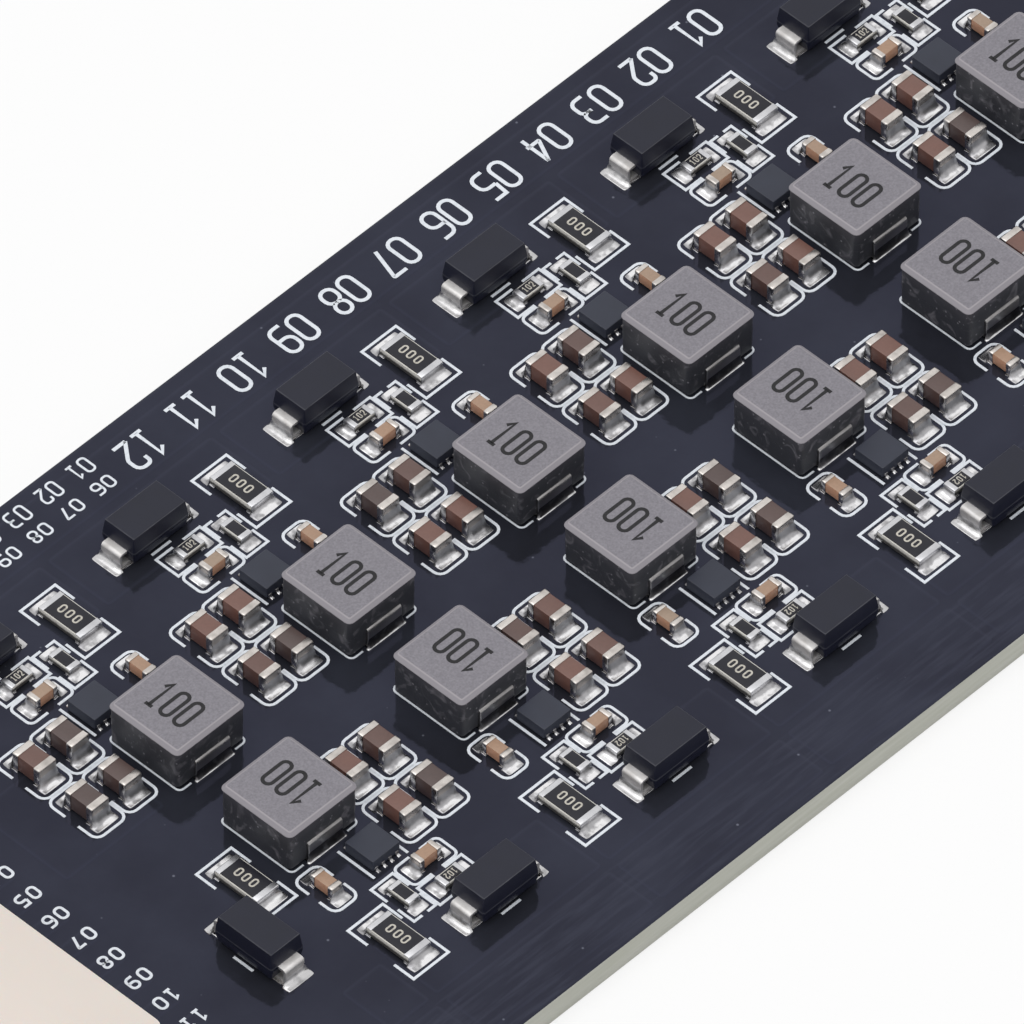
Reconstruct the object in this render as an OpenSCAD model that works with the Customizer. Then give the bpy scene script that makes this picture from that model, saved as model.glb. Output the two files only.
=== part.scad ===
// Active balancer board: two rows of inductor cells on one circuit board, fed by a side-entry header.
// Millimetres. Origin at the middle of the underside, X along the board away from the header,
// Y towards the back edge, Z up. Parts stand on solder lands on the board's top face.

/* [Board] */
// Length of the board along X
board_l = 100; // [95:1:130]
// Width of the board along Y
board_w = 44.5; // [42:0.5:60]
// Thickness of the board
board_t = 1.6; // [0.8:0.1:2.4]

/* [Cell rows] */
// Cells in the back row
back_cells = 6; // [1:1:6]
// Cells in the front row, which are turned half round
front_cells = 5; // [1:1:5]
// Distance from one cell to the next
cell_pitch = 12.7; // [12:0.1:14]
// From the header end of the board to the first inductor's middle
first_cell_in = 25.1; // [23:0.1:28]
// Gap between the inductor bodies of the two rows
row_gap = 3.1; // [2:0.1:6]
// Shift of both rows towards the back edge
row_shift = 0.1; // [-1:0.1:1]

/* [Inductor] */
// Length of the moulded body along X
inductor_l = 5; // [4:0.1:6]
// Width of the moulded body along Y
inductor_w = 5; // [4:0.1:6]
// Height of the inductor above its solder
inductor_h = 2.85; // [2:0.05:4]
// Radius of the body's upright and top edges
inductor_r = 0.35; // [0.1:0.05:0.6]
// Width of the terminal strap
strap_w = 2.5; // [1:0.1:3.5]
// Thickness of the terminal strap
strap_t = 0.15; // [0.1:0.05:0.3]
// Inner radius of the strap's bends
strap_bend = 0.1; // [0.05:0.01:0.15]
// Height at which the strap enters the body
strap_rise = 1.3; // [0.8:0.05:1.8]
// Length of the strap's foot under the body
strap_foot = 1.1; // [0.6:0.1:1.8]
// Depth of the strap's root inside the body
strap_root = 0.5; // [0.2:0.1:1]
// Space between the body's underside and the solder
inductor_lift = 0.05; // [0.02:0.01:0.1]

/* [Balance chip] */
// Side of the square package
chip_s = 2; // [1.8:0.1:2.6]
// Height of the package
chip_h = 0.75; // [0.5:0.05:1.2]
// Edge chamfer of the package's top
chip_chamfer = 0.05; // [0.02:0.01:0.1]
// Leads along each of two sides
chip_leads_side = 4; // [2:1:4]
// Distance from lead to lead
chip_pitch = 0.5; // [0.4:0.05:0.55]
// Width of a lead
chip_lead_w = 0.24; // [0.15:0.01:0.3]
// Height of a lead
chip_lead_h = 0.2; // [0.1:0.05:0.3]
// Length of a lead inside the package
chip_lead_l = 0.35; // [0.2:0.05:0.6]
// How far a lead stands out of the package
chip_lead_out = 0.05; // [0.02:0.01:0.1]

/* [Clamp diode] */
// Length of the body at its parting line
diode_l = 4.1; // [3.5:0.1:5]
// Width of the body at its parting line
diode_w = 2.4; // [2:0.1:3.2]
// Height of the diode above its solder
diode_h = 2.05; // [1.6:0.05:2.6]
// How far each face leans in from the parting line
diode_draft = 0.15; // [0.1:0.05:0.4]
// Height of the parting band
diode_band = 0.3; // [0.22:0.01:0.4]
// Width of a lead
diode_lead_w = 1.4; // [1:0.05:1.8]
// Thickness of a lead
diode_lead_t = 0.2; // [0.1:0.02:0.2]
// Inner radius of a lead's bends
diode_bend = 0.12; // [0.05:0.01:0.16]
// Height of a lead's upper face where it leaves the body, in the middle of the parting band
diode_exit = 1.02; // [0.8:0.02:1.3]
// How far a lead stands out past the body's end
diode_reach = 0.55; // [0.4:0.05:0.7]
// Length of the lead's foot, turned in under the body
diode_foot = 1.2; // [0.6:0.1:1.6]
// Depth of the lead's root inside the body
diode_root = 0.4; // [0.2:0.1:0.8]

/* [Bank capacitors] */
// Length of a bank capacitor
bulk_l = 2; // [1.6:0.1:2.4]
// Width of a bank capacitor
bulk_w = 1.3; // [1:0.05:1.5]
// Height of a bank capacitor
bulk_h = 1.2; // [0.8:0.05:1.5]
// Length of the metal cap on each end
bulk_band = 0.42; // [0.25:0.01:0.55]
// Side gap between two capacitors of a bank
bulk_side_gap = 1.1; // [0.6:0.05:1.4]
// End gap between two capacitors of a bank
bulk_end_gap = 1.82; // [1.5:0.02:2.2]

/* [Small chip parts] */
// Length of the small capacitors and resistors
small_l = 1.6; // [1.4:0.1:1.8]
// Width of the small capacitors and resistors
small_w = 0.8; // [0.6:0.05:0.95]
// Height of a small capacitor
small_cap_h = 0.8; // [0.5:0.05:0.95]
// Height of a small resistor
small_res_h = 0.45; // [0.3:0.05:0.6]
// Length of the metal on each end of a small part
small_band = 0.32; // [0.2:0.01:0.4]
// Length of a link resistor
link_l = 3.1; // [2.8:0.1:3.4]
// Width of a link resistor
link_w = 1.6; // [1.3:0.1:1.8]
// Height of a link resistor
link_h = 0.55; // [0.4:0.05:0.7]
// Length of the metal on each end of a link resistor
link_band = 0.37; // [0.3:0.01:0.6]
// Thickness of the metal on the ends of chip parts
end_wall = 0.04; // [0.02:0.01:0.06]
// Edge chamfer of ceramic blocks
block_chamfer = 0.07; // [0.06:0.01:0.12]

/* [Spacing in a cell] */
// Inductor side to the nearest bank capacitor
bank_gap = 1.13; // [0.9:0.01:1.5]
// Middle of the bank behind the inductor's middle
bank_y = 1.87; // [1.2:0.01:2.4]
// Inductor terminal to the chip
chip_gap = 0.88; // [0.7:0.01:1.4]
// Inductor terminal to the capacitor beside the chip
lone_cap_gap = 1.15; // [0.95:0.01:1.6]
// Chip to the small capacitor of the pair
pair_gap = 1.03; // [0.8:0.01:1.4]
// Between the small capacitor and the small resistor of the pair
pair_split = 1; // [0.4:0.05:1.3]
// End of the pair to the resistor that stands across
cross_gap = 1.37; // [0.9:0.01:1.6]
// Middle of the link resistor from the inductor's middle
link_x = 1.98; // [1.7:0.01:2.4]
// Cross resistor to the link resistor
link_side_gap = 1.14; // [0.5:0.01:1.5]
// Lone capacitor to the link resistor
link_gap = 2.82; // [1.6:0.02:3.2]
// Link resistor to the diode's lead
diode_side_gap = 2.34; // [1.6:0.02:2.8]
// Small resistor of the pair to the diode
diode_gap = 0.77; // [0.4:0.01:1]
// Front row's first inductor to the end link resistor
end_link_gap = 1.35; // [0.8:0.05:2]
// End link resistor in front of the front row's middle
end_link_drop = 1.47; // [0:0.01:2.5]
// End link resistor to the end diode
end_diode_gap = 0.8; // [0.6:0.05:1.5]
// End diode in front of the end link resistor
end_diode_drop = 3.65; // [2:0.05:5]

/* [Solder] */
// Thickness of solder under a terminal
solder_t = 0.06; // [0.03:0.01:0.1]
// Reach of a solder land past a chip part's end
land_toe = 0.58; // [0.3:0.02:0.7]
// How much wider a land is than its terminal, on each side
land_side = 0.18; // [0.05:0.01:0.2]
// Reach of a land past an inductor strap
strap_toe = 0.2; // [0.1:0.02:0.5]
// Reach of a land past a diode's lead
diode_toe = 0.5; // [0.3:0.02:0.7]
// How much wider a diode's land is than its lead, on each side
diode_land_side = 0.25; // [0.05:0.01:0.4]
// Reach of a chip lead's land
lead_toe = 0.22; // [0.1:0.02:0.3]
// Height of the solder against a terminal, as a share of that terminal
fillet_share = 0.45; // [0.2:0.05:0.7]

/* [Header] */
// Contacts in the header
pin_count = 13; // [4:1:13]
// Distance from contact to contact
pin_pitch = 2; // [1.5:0.1:2.2]
// Side of a square contact
pin_s = 0.5; // [0.4:0.05:0.6]
// Outer contact's middle to the end of the housing
housing_end = 1.95; // [1.7:0.05:2.5]
// Depth of the housing along X
housing_d = 7.6; // [6:0.1:9]
// Height of the housing above the board
housing_h = 5.2; // [4.5:0.1:7]
// Thickness of the housing's upper and lower walls
housing_wall = 0.7; // [0.5:0.05:1]
// Thickness of the housing's end walls
housing_side = 0.85; // [0.7:0.05:1]
// Thickness of the housing's rear wall
housing_rear = 2; // [1.2:0.1:3]
// Chamfer of the housing's rear corners, seen from above
housing_chamfer = 2; // [0.5:0.1:2.5]
// How far the contact tips stay behind the mouth
pin_recess = 1.6; // [0.8:0.1:2.5]
// Length of a contact's pointed tip
pin_point = 0.4; // [0.2:0.05:0.8]
// Inner radius of a contact's bends
pin_bend = 0.25; // [0.1:0.05:0.4]
// Length of a contact's straight foot
pin_foot = 0.9; // [0.5:0.1:1.5]
// Length of an anchor tab along X
tab_l = 2; // [1:0.1:3]
// Mouth of the housing to the anchor tab
tab_in = 1.5; // [0.6:0.1:2.5]
// Thickness of an anchor tab
tab_t = 0.3; // [0.2:0.05:0.4]
// Inner radius of an anchor tab's bend
tab_bend = 0.15; // [0.05:0.05:0.3]
// Height of an anchor tab
tab_h = 2.4; // [1:0.1:3.5]
// Length of an anchor tab's foot
tab_foot = 1.3; // [0.8:0.1:2]

/* [Hidden] */
$fn = 48;
eps = 0.01;
cell_count = back_cells + front_cells;
pair_count = cell_count + 1;

// Levels
top_z = board_t;
part_z = board_t + solder_t;

// Cell places, measured from the inductor's middle
half_l = inductor_l / 2;
face_y = inductor_w / 2 + strap_t;
strap_r = strap_bend + strap_t;
row_y = (inductor_w + row_gap) / 2;
bulk_pitch_x = bulk_w + bulk_side_gap;
bulk_pitch_y = bulk_l + bulk_end_gap;
bank_at = [-(half_l + bank_gap + (bulk_pitch_x + bulk_w) / 2), bank_y];
chip_at = [(chip_s - inductor_l) / 2, face_y + chip_gap + chip_s / 2];
lone_cap_at = [link_x, face_y + lone_cap_gap + small_l / 2];
cross_x = link_x - (link_w + small_w) / 2 - link_side_gap;
pair_x = cross_x - (small_w + small_l) / 2 - cross_gap;
pair_cap_at = [pair_x, chip_at.y + (chip_s + small_w) / 2 + pair_gap];
pair_res_at = [pair_x, pair_cap_at.y + small_w + pair_split];
cross_at = [cross_x, (pair_cap_at.y + pair_res_at.y) / 2];
link_at = [link_x, lone_cap_at.y + (small_l + link_l) / 2 + link_gap];
diode_half = diode_l / 2 + diode_reach;
diode_at = [
    link_x - link_w / 2 - diode_side_gap - diode_half,
    pair_res_at.y + (small_w + diode_w) / 2 + diode_gap
];

// The end link and diode, which the header end of the front row adds
front_first = [first_cell_in - board_l / 2, row_shift - row_y];
end_link_at = front_first - [half_l + end_link_gap + link_w / 2, end_link_drop];
end_diode_at = end_link_at - [(link_w + diode_w) / 2 + end_diode_gap, end_diode_drop];

// Header
housing_l = (pin_count - 1) * pin_pitch + 2 * housing_end;
mouth_x = -board_l / 2;
rear_x = mouth_x + housing_d;
cavity_h = housing_h - 2 * housing_wall;
cavity_l = housing_l - 2 * housing_side;
pin_rise = housing_h / 2 - solder_t;
pin_drop_x = rear_x + pin_bend;
pin_foot_x = rear_x + 2 * pin_bend + pin_s;

function two_digits(i) = str(i < 10 ? "0" : "", i);
function names(stem, count) = [for (i = [1 : count]) str(stem, "_", two_digits(i))];

INDUCTORS = names("inductor", cell_count);
CHIPS = names("balance_chip", cell_count);
BANKS = names("capacitor_bank", cell_count);
DIODES = names("clamp_diode", pair_count);
GROUPS = [
    "circuit_board", "header_housing", "header_contacts", "header_anchor_tabs",
    "inductor_straps", "chip_leads", "diode_leads", "bank_end_caps",
    "small_capacitors", "small_capacitor_end_caps", "small_resistors", "small_resistor_ends",
    "link_resistors", "link_resistor_ends", "solder_joints"
];

// Placing

// A cell's own frame, on top of the solder: back row first, then the front row turned half round
module on_cell(i) {
    back = i < back_cells;
    column = back ? i : i - back_cells;
    x = first_cell_in - board_l / 2 + column * cell_pitch;
    translate([x, row_shift + (back ? row_y : -row_y), part_z])
        rotate(back ? 0 : 180)
        children();
}

module on_link(i) {
    if (i < cell_count) on_cell(i) translate(link_at) rotate(90) children();
    else translate([end_link_at.x, end_link_at.y, part_z]) rotate(90) children();
}

module on_diode(i) {
    if (i < cell_count) on_cell(i) translate(diode_at) children();
    else translate([end_diode_at.x, end_diode_at.y, part_z]) rotate(90) children();
}

module on_bank(i) {
    on_cell(i)
        for (sx = [-0.5, 0.5], sy = [-0.5, 0.5])
            translate([bank_at.x + sx * bulk_pitch_x, bank_at.y + sy * bulk_pitch_y])
                rotate(90)
                children();
}

module on_small_capacitors() {
    for (i = [0 : cell_count - 1]) {
        on_cell(i) translate(pair_cap_at) children();
        on_cell(i) translate(lone_cap_at) rotate(90) children();
    }
}

module on_small_resistors() {
    for (i = [0 : cell_count - 1]) {
        on_cell(i) translate(pair_res_at) children();
        on_cell(i) translate(cross_at) rotate(90) children();
    }
}

// Both ends of a part that lies along X, each with its outward direction along +X
module both_ends() {
    for (a = [0, 180]) rotate(a) children();
}

module on_chip_leads(i) {
    on_cell(i)
        translate(chip_at)
        for (a = [90, -90], n = [0 : chip_leads_side - 1])
            rotate(a)
                translate([0, (n - (chip_leads_side - 1) / 2) * chip_pitch])
                children();
}

module on_pins() {
    for (n = [0 : pin_count - 1])
        translate([0, (n - (pin_count - 1) / 2) * pin_pitch, part_z])
            children();
}

module on_tabs() {
    for (side = [0, 1])
        mirror([0, side, 0])
            translate([mouth_x + tab_in, housing_l / 2, part_z])
            children();
}

// Shapes

// Upright slab drawn in the XZ plane, with its thickness w centred on Y
module cross_section(w) {
    translate([0, w / 2, 0])
        rotate([90, 0, 0])
        linear_extrude(w)
        children();
}

module rounded_rect(l, w, r) {
    square([l - 2 * r, w], center = true);
    square([l, w - 2 * r], center = true);
    for (sx = [-1, 1], sy = [-1, 1])
        translate([sx * (l / 2 - r), sy * (w / 2 - r)])
            circle(r);
}

// Outline of a side: flat foot and rounded shoulders
module shouldered(l, h, r) {
    translate([-l / 2, 0]) square([l, h - r]);
    translate([r - l / 2, 0]) square([l - 2 * r, h]);
    for (s = [-1, 1]) translate([s * (l / 2 - r), h - r]) circle(r);
}

// Block with rounded upright edges and a rounded top rim
module moulded_block(l, w, h, r) {
    intersection() {
        linear_extrude(h) rounded_rect(l, w, r);
        cross_section(w) shouldered(l, h, r);
        rotate(90) cross_section(l) shouldered(w, h, r);
    }
}

// Rectangle with its corners cut off, standing on its lower edge
module chamfered_rect(w, h, c) {
    polygon([
        [c - w / 2, 0], [w / 2 - c, 0], [w / 2, c], [w / 2, h - c],
        [w / 2 - c, h], [c - w / 2, h], [-w / 2, h - c], [-w / 2, c]
    ]);
}

// Block with every edge chamfered, standing on z = 0
module chamfered_block(l, w, h, c) {
    intersection() {
        cross_section(w) chamfered_rect(l, h, c);
        rotate(90) cross_section(l) chamfered_rect(w, h, c);
        translate([0, -w / 2, 0]) linear_extrude(h) chamfered_rect(l, w, c);
    }
}

// Side view of a body that leans in above and below a parting band at height p
module drafted(l, z0, p, h) {
    polygon([
        [diode_draft - l / 2, z0], [l / 2 - diode_draft, z0],
        [l / 2, p - diode_band / 2], [l / 2, p + diode_band / 2],
        [l / 2 - diode_draft, h], [diode_draft - l / 2, h],
        [-l / 2, p + diode_band / 2], [-l / 2, p - diode_band / 2]
    ]);
}

module quarter_ring(r, t) {
    intersection() {
        difference() {
            circle(r + t);
            circle(r);
        }
        square(r + t);
    }
}

// What lies outside a bend of outer radius r, out to the corner where its two straights would meet
module bend_corner(r) {
    difference() {
        square(r);
        circle(r);
    }
}

// Strip of thickness t bent into a hook: its outer face stands at x = 0 from z = 0 up to rise, its foot
// and its root run back along -X for the given lengths
module bent_strip(t, bend, rise, foot, root) {
    r = bend + t;
    translate([-foot, 0]) square([foot - r, t]);
    translate([-r, r]) rotate(-90) quarter_ring(bend, t);
    translate([-t, r]) square([t, rise - 2 * r]);
    translate([-r, rise - r]) quarter_ring(bend, t);
    translate([-root, rise - t]) square([root - r, t]);
}

// Solder under a terminal whose outer face is at x = 0: a land w wide from x = -heel to x = toe,
// with a hollow slope that climbs the face to height climb, and a fill under a bend of outer radius bend_r
module solder_joint(w, heel, toe, climb, bend_r = 0) {
    knee = 0.35;
    translate([0, 0, -solder_t])
        cross_section(w) {
            polygon([
                [-heel, 0], [toe, 0], [toe, solder_t / 2],
                [knee * toe, solder_t + knee * climb],
                [0, solder_t + climb], [0, solder_t], [-heel, solder_t]
            ]);
            if (bend_r > 0)
                translate([-bend_r, solder_t + bend_r]) rotate(-90) bend_corner(bend_r);
        }
}

// Ceramic block of a capacitor, whose metal caps are end_wall thick
module ceramic_block(l, w, h) {
    translate([0, 0, end_wall])
        chamfered_block(l - 2 * end_wall, w - 2 * end_wall, h - 2 * end_wall, block_chamfer);
}

// Metal cap over both ends of a capacitor
module ceramic_caps(l, w, h, band) {
    both_ends()
        difference() {
            intersection() {
                chamfered_block(l, w, h, block_chamfer);
                translate([l / 2 - band, -w / 2, 0]) cube([band, w, h]);
            }
            ceramic_block(l, w, h);
        }
}

// Substrate of a chip resistor with its glaze, between wrapped metal ends
module resistor_block(l, w, h, band) {
    core_h = h - 2 * end_wall;
    translate([0, 0, end_wall + core_h / 2])
        cube([l - 2 * end_wall, w, core_h], center = true);
    translate([0, 0, h - end_wall])
        cube([l - 2 * band, w, 2 * end_wall], center = true);
}

// Metal wrapped over the top, end and underside of both resistor ends
module resistor_wraps(l, w, h, band) {
    both_ends()
        cross_section(w)
        difference() {
            translate([l / 2 - band, 0]) square([band, h]);
            translate([l / 2 - band - eps, end_wall])
                square([band + eps - end_wall, h - 2 * end_wall]);
        }
}

// Inductor strap at the +X end of a frame turned to the terminal's side
module strap() {
    cross_section(strap_w)
        translate([face_y, 0])
        bent_strip(strap_t, strap_bend, strap_rise, strap_foot + strap_t, strap_root + strap_t);
}

// Room under the strap's lower bend, which solder fills as wide as the land
module strap_underfill() {
    cross_section(strap_w + 2 * land_side)
        translate([face_y - strap_r, strap_r])
        rotate(-90)
        bend_corner(strap_r);
}

// One diode lead at the +X end
module diode_lead() {
    cross_section(diode_lead_w)
        translate([diode_half, 0])
        bent_strip(diode_lead_t, diode_bend, diode_exit, diode_foot, diode_root + diode_reach);
}

module chip_lead() {
    translate([chip_s / 2 - chip_lead_l, -chip_lead_w / 2, 0])
        cube([chip_lead_l + chip_lead_out, chip_lead_w, chip_lead_h]);
}

// One header contact in the XZ plane: pointed tip, straight run through the rear wall, two bends, foot
module contact() {
    low = pin_rise - pin_s / 2;
    tip_x = mouth_x + pin_recess;
    upper_bend_z = low - pin_bend;
    lower_bend_z = pin_s + pin_bend;
    cross_section(pin_s) {
        polygon([
            [tip_x, pin_rise - pin_s / 4], [tip_x + pin_point, low], [rear_x, low],
            [rear_x, low + pin_s], [tip_x + pin_point, low + pin_s], [tip_x, pin_rise + pin_s / 4]
        ]);
        translate([rear_x, upper_bend_z]) quarter_ring(pin_bend, pin_s);
        translate([pin_drop_x, lower_bend_z]) square([pin_s, upper_bend_z - lower_bend_z]);
        translate([pin_foot_x, lower_bend_z]) rotate(180) quarter_ring(pin_bend, pin_s);
        translate([pin_foot_x, 0]) square([pin_foot, pin_s]);
    }
}

// Anchor tab at the housing's +Y end: a plate let into the end wall and a foot turned outwards
module anchor_tab() {
    rotate([90, 0, 90])
        linear_extrude(tab_l) {
            translate([-tab_t, tab_t + tab_bend]) square([tab_t, tab_h - tab_t - tab_bend]);
            translate([tab_bend, tab_t + tab_bend]) rotate(180) quarter_ring(tab_bend, tab_t);
            translate([tab_bend, 0]) square([tab_foot - tab_t - tab_bend, tab_t]);
        }
}

// Sub-parts

module circuit_board() {
    color("#34373f")
        translate([0, 0, board_t / 2])
        cube([board_l, board_w, board_t], center = true);
}

module header_housing() {
    half = housing_l / 2;
    color("#e7ddd4")
        difference() {
            translate([0, 0, top_z])
                linear_extrude(housing_h)
                polygon([
                    [mouth_x, -half], [rear_x - housing_chamfer, -half],
                    [rear_x, housing_chamfer - half], [rear_x, half - housing_chamfer],
                    [rear_x - housing_chamfer, half], [mouth_x, half]
                ]);
            translate([mouth_x - eps, -cavity_l / 2, top_z + housing_wall])
                cube([housing_d - housing_rear + eps, cavity_l, cavity_h]);
            on_pins() contact();
            on_tabs() tab_slot();
        }
}

// Room for an anchor tab in the end wall, open down to the board
module tab_slot() {
    translate([0, -tab_t, -solder_t]) cube([tab_l, tab_t + eps, tab_h + solder_t]);
}

module header_contacts() {
    color("#d8d4c4") on_pins() contact();
}

module header_anchor_tabs() {
    color("#cfcfca") on_tabs() anchor_tab();
}

module inductor(i) {
    color("#8a8788")
        on_cell(i)
        difference() {
            translate([0, 0, inductor_lift])
                moulded_block(inductor_l, inductor_w, inductor_h - inductor_lift, inductor_r);
            rotate(90) both_ends() {
                strap();
                strap_underfill();
            }
        }
}

module inductor_straps() {
    color("#b9bcc0")
        for (i = [0 : cell_count - 1])
            on_cell(i) rotate(90) both_ends() strap();
}

module balance_chip(i) {
    color("#2b2d33")
        difference() {
            on_cell(i) translate(chip_at) chip_package();
            on_chip_leads(i) chip_lead();
        }
}

// Square package with a fine chamfer round its top
module chip_package() {
    half = chip_s / 2;
    module profile() {
        polygon([
            [-half, 0], [half, 0], [half, chip_h - chip_chamfer], [half - chip_chamfer, chip_h],
            [chip_chamfer - half, chip_h], [-half, chip_h - chip_chamfer]
        ]);
    }
    intersection() {
        cross_section(chip_s) profile();
        rotate(90) cross_section(chip_s) profile();
    }
}

module chip_leads() {
    color("#c9cbd0")
        for (i = [0 : cell_count - 1])
            on_chip_leads(i) chip_lead();
}

module clamp_diode(i) {
    p = diode_exit - diode_lead_t / 2;
    color("#26272c")
        on_diode(i)
        difference() {
            intersection() {
                cross_section(diode_w) drafted(diode_l, diode_lead_t, p, diode_h);
                rotate(90) cross_section(diode_l) drafted(diode_w, diode_lead_t, p, diode_h);
            }
            both_ends() diode_lead();
        }
}

module diode_leads() {
    color("#d5d6d4")
        for (i = [0 : pair_count - 1])
            on_diode(i) both_ends() diode_lead();
}

module capacitor_bank(i) {
    color("#8a6a5e") on_bank(i) ceramic_block(bulk_l, bulk_w, bulk_h);
}

module bank_end_caps() {
    color("#d9d8d4")
        for (i = [0 : cell_count - 1])
            on_bank(i) ceramic_caps(bulk_l, bulk_w, bulk_h, bulk_band);
}

module small_capacitors() {
    color("#c39a72") on_small_capacitors() ceramic_block(small_l, small_w, small_cap_h);
}

module small_capacitor_end_caps() {
    color("#d9d8d4") on_small_capacitors() ceramic_caps(small_l, small_w, small_cap_h, small_band);
}

module small_resistors() {
    color("#3b3c40") on_small_resistors() resistor_block(small_l, small_w, small_res_h, small_band);
}

module small_resistor_ends() {
    color("#d2d3d1") on_small_resistors() resistor_wraps(small_l, small_w, small_res_h, small_band);
}

module link_resistors() {
    color("#2f3034")
        for (i = [0 : pair_count - 1])
            on_link(i) resistor_block(link_l, link_w, link_h, link_band);
}

module link_resistor_ends() {
    color("#d2d3d1")
        for (i = [0 : pair_count - 1])
            on_link(i) resistor_wraps(link_l, link_w, link_h, link_band);
}

// Two solder joints for a part that lies along X
module end_joints(l, w, h, band, toe = land_toe, side = land_side, bend_r = 0) {
    both_ends()
        translate([l / 2, 0, 0])
        solder_joint(w + 2 * side, band, toe, h * fillet_share, bend_r);
}

module solder_joints() {
    color("#c4c7cb") {
        on_small_capacitors() end_joints(small_l, small_w, small_cap_h, small_band);
        on_small_resistors() end_joints(small_l, small_w, small_res_h, small_band);
        for (i = [0 : cell_count - 1]) {
            on_bank(i) end_joints(bulk_l, bulk_w, bulk_h, bulk_band);
            on_chip_leads(i)
                translate([chip_s / 2 + chip_lead_out, 0, 0])
                solder_joint(chip_lead_w, chip_lead_l, lead_toe, chip_lead_h * fillet_share);
            on_cell(i)
                rotate(90)
                end_joints(
                    2 * face_y, strap_w, strap_rise, strap_foot, toe = strap_toe, bend_r = strap_r
                );
        }
        for (i = [0 : pair_count - 1]) {
            on_link(i) end_joints(link_l, link_w, link_h, link_band);
            on_diode(i)
                end_joints(
                    2 * diode_half, diode_lead_w, diode_exit, diode_foot,
                    diode_toe, diode_land_side, diode_bend + diode_lead_t
                );
        }
        on_pins()
            translate([pin_foot_x + pin_foot, 0, 0])
            solder_joint(pin_s + 2 * land_side, pin_foot, land_toe, pin_s * fillet_share);
        on_tabs()
            translate([tab_l / 2, tab_foot - tab_t, 0])
            rotate(90)
            solder_joint(tab_l + 2 * land_side, tab_foot - tab_t, land_toe, tab_t * fillet_share);
    }
}

circuit_board();
header_housing();
header_contacts();
header_anchor_tabs();
inductor_straps();
chip_leads();
diode_leads();
bank_end_caps();
small_capacitors();
small_capacitor_end_caps();
small_resistors();
small_resistor_ends();
link_resistors();
link_resistor_ends();
solder_joints();
for (i = [0 : cell_count - 1]) {
    inductor(i);
    balance_chip(i);
    capacitor_bank(i);
}
for (i = [0 : pair_count - 1])
    clamp_diode(i);
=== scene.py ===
import math
from functools import partial

import bmesh
import bpy
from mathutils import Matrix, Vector


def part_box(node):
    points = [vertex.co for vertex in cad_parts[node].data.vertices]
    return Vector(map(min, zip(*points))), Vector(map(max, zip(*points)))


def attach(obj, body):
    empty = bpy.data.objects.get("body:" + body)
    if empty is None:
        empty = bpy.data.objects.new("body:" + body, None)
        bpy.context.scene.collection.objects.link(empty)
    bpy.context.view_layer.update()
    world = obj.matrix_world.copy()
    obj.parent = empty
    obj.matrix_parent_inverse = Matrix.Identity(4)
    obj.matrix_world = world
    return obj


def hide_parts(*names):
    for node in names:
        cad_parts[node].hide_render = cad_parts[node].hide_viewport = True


# Active balancer board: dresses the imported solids. Sizes below are millimetres, the scene is metres.
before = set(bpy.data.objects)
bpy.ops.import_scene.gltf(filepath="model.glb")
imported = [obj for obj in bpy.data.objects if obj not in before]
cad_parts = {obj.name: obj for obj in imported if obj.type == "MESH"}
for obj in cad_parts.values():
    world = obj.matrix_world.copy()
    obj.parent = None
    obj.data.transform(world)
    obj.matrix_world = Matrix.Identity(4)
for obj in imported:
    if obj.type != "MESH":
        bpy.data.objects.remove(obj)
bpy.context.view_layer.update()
scene = bpy.context.scene
mm = 0.001
halfTurn = math.pi
quarterTurn = halfTurn / 2

# Camera, made first

photoView = {"lens": 938.7, "sensor": 36, "aim": (-1.433, 2.780, 1.6), "distance": 1391.7,
             "azimuth": -45.93, "elevation": 47.90, "clipNear": 100, "clipFar": 10000}


def placeCamera(view):
    azimuth, elevation = math.radians(view["azimuth"]), math.radians(view["elevation"])
    level = math.cos(elevation)
    back = Vector((math.sin(azimuth) * level, -math.cos(azimuth) * level, math.sin(elevation)))
    data = bpy.data.cameras.new("photoCamera")
    data.lens, data.sensor_width = view["lens"], view["sensor"]
    data.clip_start, data.clip_end = view["clipNear"] * mm, view["clipFar"] * mm
    camera = bpy.data.objects.new("photoCamera", data)
    scene.collection.objects.link(camera)
    camera.location = (Vector(view["aim"]) + back * view["distance"]) * mm
    camera.rotation_euler = (-back).to_track_quat("-Z", "Y").to_euler()
    scene.camera = camera


placeCamera(photoView)
scene.view_settings.view_transform = "Standard"
print("camera placed")

# Small helpers for nodes and colours


def toLinear(hexColour):
    parts = [int(hexColour[i:i + 2], 16) / 255 for i in (1, 3, 5)]
    return tuple(c / 12.92 if c <= 0.04045 else ((c + 0.055) / 1.055) ** 2.4 for c in parts) + (1.0,)


def perSize(size):
    return 1 / (size * mm)  # texture scale for a pattern whose features are this many millimetres


def setInputs(node, inputs):
    # a value is a node, linked by its first live output, or an output, a hex colour or a plain setting
    for key, value in inputs.items():
        if isinstance(value, bpy.types.Node):
            value = next(output for output in value.outputs if output.enabled)
        if isinstance(value, bpy.types.NodeSocket):
            node.id_data.links.new(value, node.inputs[key])
        else:
            isColour = isinstance(value, str) and value.startswith("#")
            node.inputs[key].default_value = toLinear(value) if isColour else value


def addNode(tree, kind, inputs=None, **settings):
    # a short kind is a shader node; a mix is of colours
    node = tree.nodes.new(kind if "Node" in kind else "ShaderNode" + kind)
    if kind == "Mix":
        node.data_type = "RGBA"
    for name, value in settings.items():
        setattr(node, name, value)
    setInputs(node, inputs or {})
    return node


def startMaterial(name):
    material = bpy.data.materials.new(name)
    material.use_nodes = True
    add = partial(addNode, material.node_tree)
    return material, add, add("TexCoord").outputs["Object"]


def finishMaterial(material, inputs):
    setInputs(material.node_tree.nodes["Principled BSDF"], inputs)
    return material


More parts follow.
